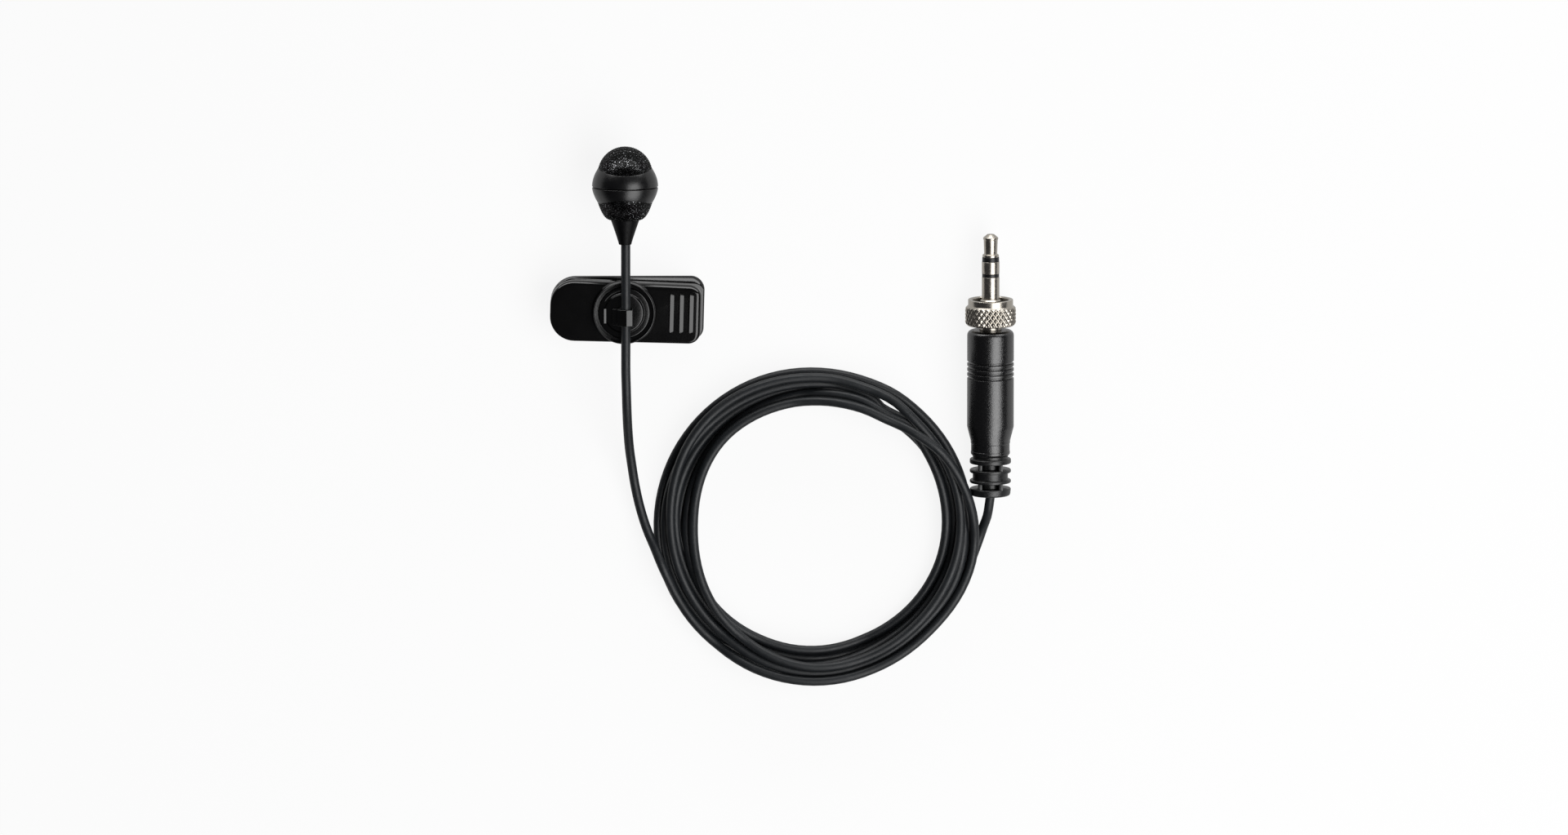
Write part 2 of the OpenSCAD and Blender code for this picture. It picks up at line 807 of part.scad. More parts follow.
module hinge_pin() {
    color(STEEL) on_clip()
        translate([pivot_x, 0, pivot_z])
            rotate([90, 0, 0])
                cylinder(h = 2 * hinge_half, d = hinge_pin_d, center = true);
}

// The spring's path in the plane across the hinge
function spring_point(t) =
    let (a = 90 + spring_angle * t)
    [spring_r * cos(a), spring_width * (t - 0.5), spring_r * sin(a)];
function spring_leg_way(t) =
    let (a = 90 + spring_angle * t)
    [sin(a), 0, -cos(a)];
SPRING_PATH = concat(
    [spring_point(0) + spring_leg * spring_leg_way(0)],
    [for (i = [0:spring_steps]) spring_point(i / spring_steps)],
    [spring_point(1) - spring_leg * spring_leg_way(1)]
);

// One ring of points round the spring, whose path lies across the hinge's axis
function spring_ring(i) =
    let (t = way(SPRING_PATH, i), s = cross(t, [0, 1, 0]), side = s / norm(s), up = cross(side, t))
    [for (k = [0:loop_sides - 1])
        SPRING_PATH[i] + spring_wire_d / 2 * (cos(60 * k) * side + sin(60 * k) * up)];

module jaw_spring() {
    last = len(SPRING_PATH) - 1;
    n = loop_sides;
    points = [for (i = [0:last]) each spring_ring(i)];
    walls = [for (i = [0:last - 1], k = [0:n - 1])
        let (a = i * n + k, b = i * n + (k + 1) % n)
        each [[a, b, a + n], [b, b + n, a + n]]];
    caps = [for (k = [1:n - 2]) each [[0, k + 1, k], [last * n, last * n + k, last * n + k + 1]]];
    color(STEEL) on_clip()
        translate([pivot_x, 0, pivot_z])
            polyhedron(points, concat(walls, caps));
}

module rear_jaw() {
    color(BLACK) on_clip()
        translate([pivot_x, 0, pivot_z])
            rotate([0, splay, 0])
                difference() {
                    union() {
                        translate([0, 0, -rear_face_drop - rear_jaw_t])
                            linear_extrude(rear_jaw_t)
                                polygon(jaw_outline(rear_start_x, rear_start_x + rear_jaw_len,
                                    jaw_w + 2 * jaw_margin));
                        knuckles(rear_knuckle_y, -rear_face_drop);
                    }
                    hinge_bore(hinge_pin_d / 2 + run_gap);
                }
}

// ---------- Plug ----------

module plug_tip() {
    skirt_end = tip_b + 0.6;
    waist_end = tip_b + tip_len - 1.0;
    color(SILVER) on_plug()
        turned([
            [0, rod_start_b], [rod_r, rod_start_b], [rod_r, tip_b],
            [pin_r - 0.1, tip_b], [pin_r - 0.1, skirt_end - 0.1], [pin_r - 0.2, skirt_end],
            [pin_r - 0.42, skirt_end], [pin_r - 0.36, waist_end], [pin_r - 0.22, waist_end + 0.1],
            [pin_r - 0.22, waist_end + 0.3], [0.7, plug_len], [0, plug_len]
        ]);
}

module tip_insulator() {
    color(BLACK) on_plug()
        turned([
            [rod_r + seat_gap, tip_tube_start_b], [tip_tube_r, tip_tube_start_b],
            [tip_tube_r, tip_insulator_b],
            [pin_r - insulator_recess, tip_insulator_b], [pin_r - insulator_recess, tip_b],
            [rod_r + seat_gap, tip_b]
        ]);
}

module ring_contact() {
    color(SILVER) on_plug()
        turned([
            [tip_tube_r + seat_gap, ring_tube_start_b], [ring_tube_r, ring_tube_start_b],
            [ring_tube_r, ring_b],
            [pin_r, ring_b], [pin_r, tip_insulator_b], [tip_tube_r + seat_gap, tip_insulator_b]
        ]);
}

module ring_insulator() {
    color(BLACK) on_plug()
        turned([
            [ring_tube_r + seat_gap, ring_cover_start_b], [ring_sleeve_r, ring_cover_start_b],
            [ring_sleeve_r, sleeve_end_b], [pin_r - insulator_recess, sleeve_end_b],
            [pin_r - insulator_recess, ring_b], [ring_tube_r + seat_gap, ring_b]
        ]);
}

module plug_sleeve() {
    core_end = core_b + core_len;
    color(SILVER) on_plug()
        turned([
            [ring_sleeve_r + seat_gap, core_b], [core_r, core_b], [core_r, core_end],
            [shank_r, core_end], [shank_r, flange_b], [flange_r, flange_b],
            [flange_r, flange_b + flange_t], [pin_r + inner_step, flange_b + flange_t],
            [pin_r + inner_step, nut_front_b - inner_step], [pin_r, nut_front_b], [pin_r, sleeve_end_b],
            [ring_sleeve_r + seat_gap, sleeve_end_b]
        ]);
}

module nut_washer() {
    color(STEEL) on_plug()
        tube(flange_r, shank_r + run_gap, web_front_b + face_gap, web_front_b + face_gap + nut_washer_t);
}

module locking_nut() {
    chamfer = 0.45;
    nut_r = nut_d / 2;
    knurl_end = nut_rear_b + nut_knurl_len;
    color(SILVER) on_plug()
        turned([
            [shank_r + run_gap, nut_rear_b], [nut_r - chamfer, nut_rear_b], [nut_r, nut_rear_b + chamfer],
            [nut_r, knurl_end - chamfer], [nut_r - chamfer, knurl_end], [nut_collar_d / 2, knurl_end],
            [nut_collar_d / 2, nut_front_b], [nut_thread_d / 2, nut_front_b],
            [nut_thread_d / 2, web_front_b], [shank_r + run_gap, web_front_b]
        ]);
}

module plug_body() {
    body_r = body_d / 2;
    rear_r = body_rear_d / 2;
    bore_r = body_bore_d / 2;
    entry_r = relief_core_d / 2;
    shoulder_b = body_end_b - front_lip_t + seat_gap;
    color(SOFT_BLACK) on_plug()
        difference() {
            turned(concat(
                [[entry_r, body_b], [rear_r - 0.3, body_b], [rear_r, body_b + 0.6],
                    [rear_r, body_b + rear_straight], [body_r, body_b + rear_straight + taper_len]],
                [for (a = [0:15:90]) [body_r - front_round_r * (1 - cos(a)),
                    body_end_b - front_round_r * (1 - sin(a))]],
                [[shank_r + seat_gap, body_end_b], [shank_r + seat_gap, shoulder_b],
                    [bore_r, shoulder_b], [bore_r, body_b + rear_wall_len],
                    [entry_r, body_b + rear_wall_len]]
            ));
            for (i = [0:groove_count - 1])
                let (b = body_end_b - grooves_back + i * groove_pitch)
                tube(body_r + 1, body_r - groove_depth, b, b + groove_w);
        }
}

module strain_relief() {
    flange_r = relief_d / 2;
    row_r = relief_core_d / 2;
    neck_r = flange_r - neck_depth;
    bore = cord_d / 2;
    row_outline = [for (b = slot_rows_b) [
        [flange_r, b], [row_r, b], [row_r, b + slot_row_h], [flange_r, b + slot_row_h]]];
    color(SOFT_BLACK) on_plug() {
        turned(concat(
            [[bore, 0], [flange_r - relief_round, 0], [flange_r, relief_round]],
            row_outline[0],
            [[flange_r, neck_b], [neck_r, neck_b], [neck_r, neck_end_b], [flange_r, neck_end_b]],
            row_outline[1],
            [[flange_r, relief_len - relief_round], [neck_r, relief_len], [bore, relief_len]]
        ));
        tube(row_r - seat_gap, bore, relief_len, relief_len + relief_spigot_len);
        for (b = slot_rows_b, sx = [-1, 1], sy = [0, 1])
            mirror([0, sy, 0])
                translate([sx * rib_bridge_x - rib_bridge_w / 2, rib_bridge_y[0], b])
                    cube([rib_bridge_w, rib_bridge_y[1] - rib_bridge_y[0], slot_row_h]);
    }
}

module plug_cable_end() {
    color(SOFT_BLACK) on_plug()
        tube(jacket_r, 0, 0, stub_len);
}

module crimp_ring() {
    color(GOLD) on_plug()
        tube(cord_d / 2 + crimp_t, jacket_r + seat_gap, stub_len - crimp_back - crimp_len,
            stub_len - crimp_back);
}

// Blades on the rear ends of the tip, ring and sleeve contacts: [local y, end station]
LUGS = [
    [-lug_t / 2, rod_start_b],
    [tip_tube_r, ring_tube_start_b],
    [-ring_sleeve_r - 0.5 - lug_t, core_b]
];

module solder_lugs() {
    color(GOLD) on_plug()
        for (lug = LUGS)
            translate([-lug_w / 2, lug[0], lug[1] - lug_len])
                cube([lug_w, lug_t, lug_len]);
}

module plug_wires() {
    starts = [[0, 0], [0.3, 0.42], [-0.3, -0.42]];
    color(WIRE_RED) on_plug()
        for (i = [0:2])
            wire([starts[i][0], starts[i][1], stub_len],
                [0, LUGS[i][0] + lug_t / 2, LUGS[i][1] - lug_len], wire_r / 2);
}

echo(coil_least_gap_mm = least_gap(COIL_PATH, loop_rings / 2, cord_d));
echo(spring_least_gap_mm = least_gap(SPRING_PATH, spring_rings / 2, spring_wire_d));

head_front_grille();
head_front_ring();
head_rear_ring();
head_rear_grille();
head_boot();
front_foam();
rear_foam();
capsule_can();
capsule_gasket();
diaphragm();
backplate();
insulator_cup();
capsule_board();
amplifier_chip();
head_cable_end();
head_wires();
cord_lead();
cord_coil();
cord_tail();
cable_hook();
swivel_disc();
swivel_rivet();
friction_washer();
front_jaw();
hinge_pin();
jaw_spring();
rear_jaw();
plug_tip();
tip_insulator();
ring_contact();
ring_insulator();
plug_sleeve();
nut_washer();
locking_nut();
plug_body();
strain_relief();
solder_lugs();
crimp_ring();
plug_cable_end();
plug_wires();
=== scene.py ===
"""Looks of a lavalier microphone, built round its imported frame.

Sizes are in millimetres inside the classes and in metres in the scene, in the frame's own axes:
+Z up from the surface that the microphone lies on, +Y from its clip to its front grille.
"""

from __future__ import annotations

import logging
import math
from collections.abc import Callable
from dataclasses import dataclass, field
from enum import Enum

import bmesh
import bpy
import numpy as np
from mathutils import Matrix, Vector


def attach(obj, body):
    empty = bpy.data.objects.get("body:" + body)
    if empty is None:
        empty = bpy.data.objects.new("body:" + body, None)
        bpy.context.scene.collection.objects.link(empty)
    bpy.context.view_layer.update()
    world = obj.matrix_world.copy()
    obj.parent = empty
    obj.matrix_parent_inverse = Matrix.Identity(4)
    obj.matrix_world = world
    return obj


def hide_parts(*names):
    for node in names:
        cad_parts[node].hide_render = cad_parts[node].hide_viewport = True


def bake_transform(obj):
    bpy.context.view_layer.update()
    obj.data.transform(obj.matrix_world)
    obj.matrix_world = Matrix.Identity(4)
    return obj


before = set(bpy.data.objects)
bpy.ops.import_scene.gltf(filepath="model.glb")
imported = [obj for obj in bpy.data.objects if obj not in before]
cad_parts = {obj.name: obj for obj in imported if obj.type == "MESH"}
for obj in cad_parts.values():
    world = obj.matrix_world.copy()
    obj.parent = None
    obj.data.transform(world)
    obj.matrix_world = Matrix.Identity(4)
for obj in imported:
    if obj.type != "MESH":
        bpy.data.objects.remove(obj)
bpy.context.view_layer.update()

log = logging.getLogger("microphone")

MM = 0.001
# Keeps a division from failing on the axis
TINY = 1e-9
# Vertices that are closer than this are one
SEAM = 1e-5
FULL_TURN = 2 * math.pi

# A point of an outline, a corner with the radius that rounds it, and a place
Point = tuple[float, float]
Corner = tuple[float, float, float]
Spot = tuple[float, float, float]
Tree = bpy.types.NodeTree
Socket = bpy.types.NodeSocket
Vert = bmesh.types.BMVert
Edge = bmesh.types.BMEdge

# Places that sub-assemblies share, in millimetres
BOOT_END = (-0.05, 0.65, 11.1)
SWIVEL_AXIS = (-0.4, -13.35, 0.0)
SWIVEL_TOP = 10.055
RELIEF_END = (72.4, -51.1, 5.05)
LEAD_BORE = 0.93
# How far the head droops towards its boot, in degrees
DROOP = 3.0


class Body(Enum):
    """The bodies of the frame that pieces move with."""

    MICROPHONE = "microphone"
    HOLDER = "holder"
    FRONT_JAW = "front_jaw"
    REAR_JAW = "rear_jaw"
    NUT = "nut"


class Slot(Enum):
    """The record's material slots."""

    GRILLE = "grille_mesh"
    HEAD = "head_plastic"
    RUBBER = "soft_black"
    FOAM = "foam"
    CAN = "can_aluminium"
    GOLD = "gold_plate"
    CUP = "insulator_white"
    INSULATOR = "insulator_black"
    BOARD = "board_green"
    JACKET = "cord_jacket"
    WIRE = "wire_cover"
    CLIP = "clip_plastic"
    STEEL = "steel"
    NICKEL = "nickel"
    PLUG = "plug_plastic"


# ---------- Materials ----------


def linear(hex_colour: str) -> tuple[float, float, float, float]:
    """Turns an sRGB colour into linear light.

    Args:
        hex_colour: Six hexadecimal digits after a hash.

    Returns:
        Linear red, green and blue, and an alpha of 1.
    """
    parts = [int(hex_colour[i : i + 2], 16) / 255 for i in (1, 3, 5)]
    red, green, blue = (c / 12.92 if c <= 0.04045 else ((c + 0.055) / 1.055) ** 2.4 for c in parts)
    return red, green, blue, 1.0


def add_node(tree: Tree, kind: str, inputs: dict | None = None, **settings: str) -> bpy.types.Node:
    """Adds a node with its settings and links.

    Args:
        tree: The node tree that it goes into.
        kind: The node's type name.
        inputs: For each input, by name or number, a value or the output that is linked to it.
        **settings: Properties of the node itself.

    Returns:
        The new node.
    """
    node = tree.nodes.new(kind)
    for key, value in settings.items():
        setattr(node, key, value)
    for key, value in (inputs or {}).items():
        if isinstance(value, Socket):
            tree.links.new(value, node.inputs[key])
        else:
            node.inputs[key].default_value = value
    return node


@dataclass(frozen=True)
class Finish:
    """A real material and how its surface was made: a plain one with a fine grain.

    Sizes of patterns are real ones in millimetres; a share of 0.1 means a tenth more or less.
    """

    name: str
    slot: Slot
    colour: str
    roughness: float
    metallic: float = 0.0
    ior: float = 1.5
    mottle_mm: float = 3.0
    mottle: float = 0.12
    gloss_mm: float = 1.2
    gloss: float = 0.05
    grain_mm: float = 0.1
    grain_depth_mm: float = 0.004

    def noise(self, tree: Tree, place: Socket, size_mm: float, detail: float = 3.0) -> Socket:
        """Returns the strength of a cloudy pattern with patches of about size_mm."""
        settings = {"Vector": place, "Scale": 1 / (size_mm * MM), "Detail": detail}
        return add_node(tree, "ShaderNodeTexNoise", settings).outputs[0]

    def spread(self, tree: Tree, value: Socket, low: float, high: float) -> Socket:
        """Returns the middle half of a pattern's strength stretched from low to high."""
        settings = {0: value, 1: 0.3, 2: 0.7, 3: low, 4: high}
        return add_node(tree, "ShaderNodeMapRange", settings).outputs[0]

    def tint(self, tree: Tree, place: Socket) -> Socket:
        """Returns the colour, a little lighter and darker from patch to patch."""
        base = linear(self.colour)
        dark, light = (
            (*(channel * share for channel in base[:3]), 1.0) for share in (1 - self.mottle, 1 + self.mottle)
        )
        patches = self.spread(tree, self.noise(tree, place, self.mottle_mm), 0.0, 1.0)
        return add_node(tree, "ShaderNodeMix", {0: patches, 6: dark, 7: light}, data_type="RGBA").outputs[2]

    def sheen(self, tree: Tree, place: Socket) -> Socket:
        """Returns the roughness, which varies as it does on a handled surface."""
        patches = self.noise(tree, place, self.gloss_mm)
        return self.spread(tree, patches, self.roughness - self.gloss, self.roughness + self.gloss)

    def relief(self, tree: Tree, place: Socket) -> Socket:
        """Returns the height of the fine grain, from 0 to 1."""
        return self.noise(tree, place, self.grain_mm, detail=2.0)

    def bare(self, tree: Tree, place: Socket) -> Socket | float:
        """Returns how much of the surface is bare metal."""
        return self.metallic

    def make(self) -> bpy.types.Material:
        """Returns the material, which is built on its first use."""
        found = bpy.data.materials.get(self.name)
        if found:
            return found
        material = bpy.data.materials.new(self.name)
        material.use_nodes = True
        tree = material.node_tree
        tree.nodes.clear()
        place = add_node(tree, "ShaderNodeTexCoord").outputs["Object"]
        height = {"Height": self.relief(tree, place), "Distance": self.grain_depth_mm * MM, "Strength": 1.0}
        shader = add_node(
            tree,
            "ShaderNodeBsdfPrincipled",
            {
                "Base Color": self.tint(tree, place),
                "Roughness": self.sheen(tree, place),
                "Metallic": self.bare(tree, place),
                "IOR": self.ior,
                "Normal": add_node(tree, "ShaderNodeBump", height).outputs[0],
            },
        )
        add_node(tree, "ShaderNodeOutputMaterial", {"Surface": shader.outputs[0]})
        return material


@dataclass(frozen=True)
class SparkErodedPlastic(Finish):
    """Plastic from a spark-eroded mould: small craters close together, which break up its highlight."""

    def relief(self, tree: Tree, place: Socket) -> Socket:
        """Returns the height of the craters with a finer grain on them."""
        cells = {"Vector": place, "Scale": 1 / (self.grain_mm * MM)}
        craters = add_node(tree, "ShaderNodeTexVoronoi", cells, feature="SMOOTH_F1").outputs["Distance"]
        fine = self.noise(tree, place, self.grain_mm / 2, detail=4.0)
        return add_node(tree, "ShaderNodeMath", {0: craters, 1: fine}, operation="ADD").outputs[0]


@dataclass(frozen=True)
class WornLacquer(Finish):
    """Lacquer over steel wire, worn through in small specks that glint."""

    speck_mm: float = 0.22
    speck_from: float = 0.63
    speck_edge: float = 0.03
    steel: str = "#949597"

    def bare(self, tree: Tree, place: Socket) -> Socket:
        """Returns where the lacquer is worn through to the steel."""
        specks = self.noise(tree, place, self.speck_mm, detail=1.0)
        settings = {0: specks, 1: self.speck_from, 2: self.speck_from + self.speck_edge, 3: 0.0, 4: 1.0}
        return add_node(tree, "ShaderNodeMapRange", settings).outputs[0]

    def tint(self, tree: Tree, place: Socket) -> Socket:
        """Returns the lacquer's colour, with steel in the specks."""
        colours = {0: self.bare(tree, place), 6: linear(self.colour), 7: linear(self.steel)}
        return add_node(tree, "ShaderNodeMix", colours, data_type="RGBA").outputs[2]


@dataclass(frozen=True)
class TurnedMetal(Finish):
    """Metal from a lathe: fine rings round its axis, which lies along one of the frame's axes."""

    axis: int = 1
    ring_mm: float = 0.09
    across: float = 12.0

    def relief(self, tree: Tree, place: Socket) -> Socket:
        """Returns the height of the turning marks."""
        scale = [self.across] * 3
        scale[self.axis] = 1 / (self.ring_mm * MM)
        stretched = add_node(tree, "ShaderNodeMapping", {"Vector": place, "Scale": scale}).outputs[0]
        marks = {"Vector": stretched, "Scale": 1.0, "Detail": 3.0}
        return add_node(tree, "ShaderNodeTexNoise", marks).outputs[0]


@dataclass(frozen=True)
class OpenFoam(Finish):
    """Open-cell foam: round pores with thin walls between them."""

    def relief(self, tree: Tree, place: Socket) -> Socket:
        """Returns the height of the cell walls."""
        cells = {"Vector": place, "Scale": 1 / (self.grain_mm * MM)}
        return add_node(tree, "ShaderNodeTexVoronoi", cells).outputs["Distance"]


@dataclass(frozen=True)
class GlassLaminate(Finish):
    """Circuit board: lacquer over woven glass, whose cloth shows as a faint grid."""

    def relief(self, tree: Tree, place: Socket) -> Socket:
        """Returns the height of the two sets of threads."""
        # The node's waves are a full turn over 20 times its scale long
        bands = {"Vector": place, "Scale": FULL_TURN / (20 * self.grain_mm * MM)}
        warp, weft = (
            add_node(tree, "ShaderNodeTexWave", bands, bands_direction=way).outputs[1] for way in "XZ"
        )
        return add_node(tree, "ShaderNodeMath", {0: warp, 1: weft}, operation="MAXIMUM").outputs[0]


# Steel wire cloth under black lacquer, worn through in small glinting specks
WIRE_CLOTH = WornLacquer(
    "worn_black_lacquered_wire_cloth", Slot.GRILLE, "#040404", 0.18, ior=1.22, gloss_mm=0.35, gloss=0.05,
    grain_mm=0.3, grain_depth_mm=0.01,
)
# ABS with a fine satin mould texture: deep black with a broad grey highlight
HEAD_ABS = SparkErodedPlastic(
    "satin_abs_of_the_head", Slot.HEAD, "#040405", 0.3, ior=1.58, mottle_mm=2.5, gloss=0.03,
    grain_mm=0.09, grain_depth_mm=0.0035,
)
# Thermoplastic elastomer: matt black, a little dusty
BOOT_RUBBER = SparkErodedPlastic(
    "moulded_elastomer", Slot.RUBBER, "#060607", 0.46, ior=1.22, mottle_mm=1.6, mottle=0.2,
    gloss_mm=0.8, gloss=0.08, grain_mm=0.12, grain_depth_mm=0.005,
)
# The same elastomer on the plug, blown with grit to a paler satin
RELIEF_RUBBER = SparkErodedPlastic(
    "gritted_elastomer_of_the_relief", Slot.RUBBER, "#0b0c0d", 0.36, ior=1.6, mottle_mm=1.2, mottle=0.25,
    gloss_mm=0.6, gloss=0.08, grain_mm=0.16, grain_depth_mm=0.012,
)
# Polyether foam, charcoal grey
GRILLE_FOAM = OpenFoam(
    "open_cell_foam", Slot.FOAM, "#060606", 0.95, ior=1.12, mottle_mm=0.6, mottle=0.3,
    grain_mm=0.25, grain_depth_mm=0.08,
)
# Drawn aluminium can with faint draw rings
CAN_ALUMINIUM = TurnedMetal(
    "drawn_aluminium", Slot.CAN, "#c9cacc", 0.3, metallic=1.0, mottle=0.04, grain_depth_mm=0.002
)
# Gold flash over nickel
GOLD_FLASH = Finish(
    "gold_flash", Slot.GOLD, "#d9b060", 0.25, metallic=1.0, mottle=0.06, mottle_mm=1.0, grain_depth_mm=0.001
)
# Natural nylon, moulded, slightly yellow
WHITE_NYLON = Finish("natural_nylon", Slot.CUP, "#e6e1d2", 0.45, ior=1.53, mottle=0.04)
# Black polyacetal between the contacts
BLACK_ACETAL = TurnedMetal(
    "turned_black_acetal", Slot.INSULATOR, "#0f0f10", 0.35, ior=1.48, mottle=0.1, grain_depth_mm=0.003
)
# Solder mask on glass laminate
SOLDER_MASK = GlassLaminate(
    "solder_mask_on_laminate", Slot.BOARD, "#1c5a34", 0.3, ior=1.55, mottle=0.1,
    grain_mm=0.2, grain_depth_mm=0.004,
)
# Extruded flexible PVC: dark grey-black, satin, with a faint ripple from the die
JACKET_PVC = Finish(
    "extruded_soft_pvc", Slot.JACKET, "#16191c", 0.47, ior=1.47, mottle_mm=6.0, mottle=0.12,
    gloss_mm=2.0, gloss=0.06, grain_mm=0.5, grain_depth_mm=0.012,
)
# Red PVC wire cover
WIRE_PVC = Finish("red_wire_cover", Slot.WIRE, "#a02020", 0.4, ior=1.52, mottle=0.08, mottle_mm=1.0)
# Polycarbonate blend from a polished mould: glossier than the head, with faint handling haze
CLIP_PLASTIC = Finish(
    "polished_mould_polycarbonate", Slot.CLIP, "#040404", 0.15, ior=1.53, mottle_mm=4.0, mottle=0.08,
    gloss_mm=3.0, gloss=0.015, grain_mm=0.35, grain_depth_mm=0.004,
)
# Spring steel, oil-blacked lightly
SPRING_STEEL = Finish(
    "drawn_spring_steel", Slot.STEEL, "#8b8c8f", 0.32, metallic=1.0, mottle=0.1, mottle_mm=0.8,
    grain_mm=0.08, grain_depth_mm=0.002,
)
# Bright nickel over turned brass: warm silver with fine lathe rings
BRIGHT_NICKEL = TurnedMetal(
    "bright_nickel_plate", Slot.NICKEL, "#b8b2a8", 0.26, metallic=1.0, mottle=0.05, mottle_mm=1.5,
    gloss_mm=0.6, gloss=0.05, grain_depth_mm=0.0015,
)
# Plug body: glass-filled ABS with a coarse mould texture, grainy in its highlight
PLUG_ABS = SparkErodedPlastic(
    "textured_abs_of_the_plug", Slot.PLUG, "#040405", 0.25, ior=1.8, mottle_mm=1.8, mottle=0.15,
    gloss_mm=0.4, gloss=0.06, grain_mm=0.17, grain_depth_mm=0.016,
)


# ---------- Shaping ----------


def rounded(corners: list[Corner], steps: int = 4) -> list[Point]:
    """Rounds the corners of an outline with arcs.

    Args:
        corners: Points as (x, y, radius). A radius of 0 leaves a sharp corner.
        steps: Straight pieces in each arc.

    Returns:
        The outline's points. Its two ends stay as they are.
    """
    result: list[Point] = []
    for i, (x, y, radius) in enumerate(corners):
        here = Vector((x, y))
        if radius <= 0 or i in (0, len(corners) - 1):
            result.append((x, y))
            continue
        before = (Vector(corners[i - 1][:2]) - here).normalized()
        after = (Vector(corners[i + 1][:2]) - here).normalized()
        half = before.angle(after) / 2
        reach = radius / math.tan(half)
        centre = here + (before + after).normalized() * (radius / math.sin(half))
        first, last = here + before * reach - centre, here + after * reach - centre
        sweep = first.angle_signed(last)
        for k in range(steps + 1):
            arm = Matrix.Rotation(-sweep * k / steps, 2) @ first
            result.append(tuple(centre + arm))
    return result


def smooth_line(points: list[Vector], step: float) -> list[Vector]:
    """Draws one smooth curve through points.

    Args:
        points: The points that it passes through.
        step: The distance between the points that are returned, about.

    Returns:
        Points along the curve, the first and last included.
    """
    line = [points[0]]
    padded = [2 * points[0] - points[1], *points, 2 * points[-1] - points[-2]]
    for p0, p1, p2, p3 in zip(padded, padded[1:], padded[2:], padded[3:]):
        slow, fast = 2 * p0 - 5 * p1 + 4 * p2 - p3, 3 * p1 - p0 - 3 * p2 + p3
        count = max(1, round((p2 - p1).length / step))
        for t in (k / count for k in range(1, count + 1)):
            line.append((2 * p1 + (p2 - p0) * t + slow * t**2 + fast * t**3) / 2)
    return line


def placed(spot: Spot, degrees: float = 0.0, axis: str = "X") -> Matrix:
    """Returns the place of axes that are turned round one of theirs and moved to a spot."""
    return Matrix.Translation(spot) @ Matrix.Rotation(math.radians(degrees), 4, axis)


def round_curve(name: str, runs: list[list[Vector]], diameter: float, roundness: int) -> bpy.types.Curve:
    """Draws round wires along runs of points.

    Args:
        name: The curve's name.
        runs: For each wire, the points that it follows.
        diameter: The wires' diameter.
        roundness: How finely the wires are rounded.

    Returns:
        The curve.
    """
    curve = bpy.data.curves.new(name, "CURVE")
    curve.dimensions = "3D"
    curve.bevel_depth = diameter / 2
    curve.bevel_resolution = roundness
    curve.use_fill_caps = True
    for run in runs:
        spline = curve.splines.new("POLY")
        spline.points.add(len(run) - 1)
        for point, spot in zip(spline.points, run):
            point.co = (*spot, 1.0)
        spline.use_smooth = True
    return curve


def curve_mesh(curve: bpy.types.Curve) -> bpy.types.Mesh:
    """Turns a curve into a mesh and drops the curve."""
    holder = bpy.data.objects.new(curve.name, curve)
    data = bpy.data.meshes.new_from_object(holder)
    bpy.data.objects.remove(holder)
    bpy.data.curves.remove(curve)
    return data


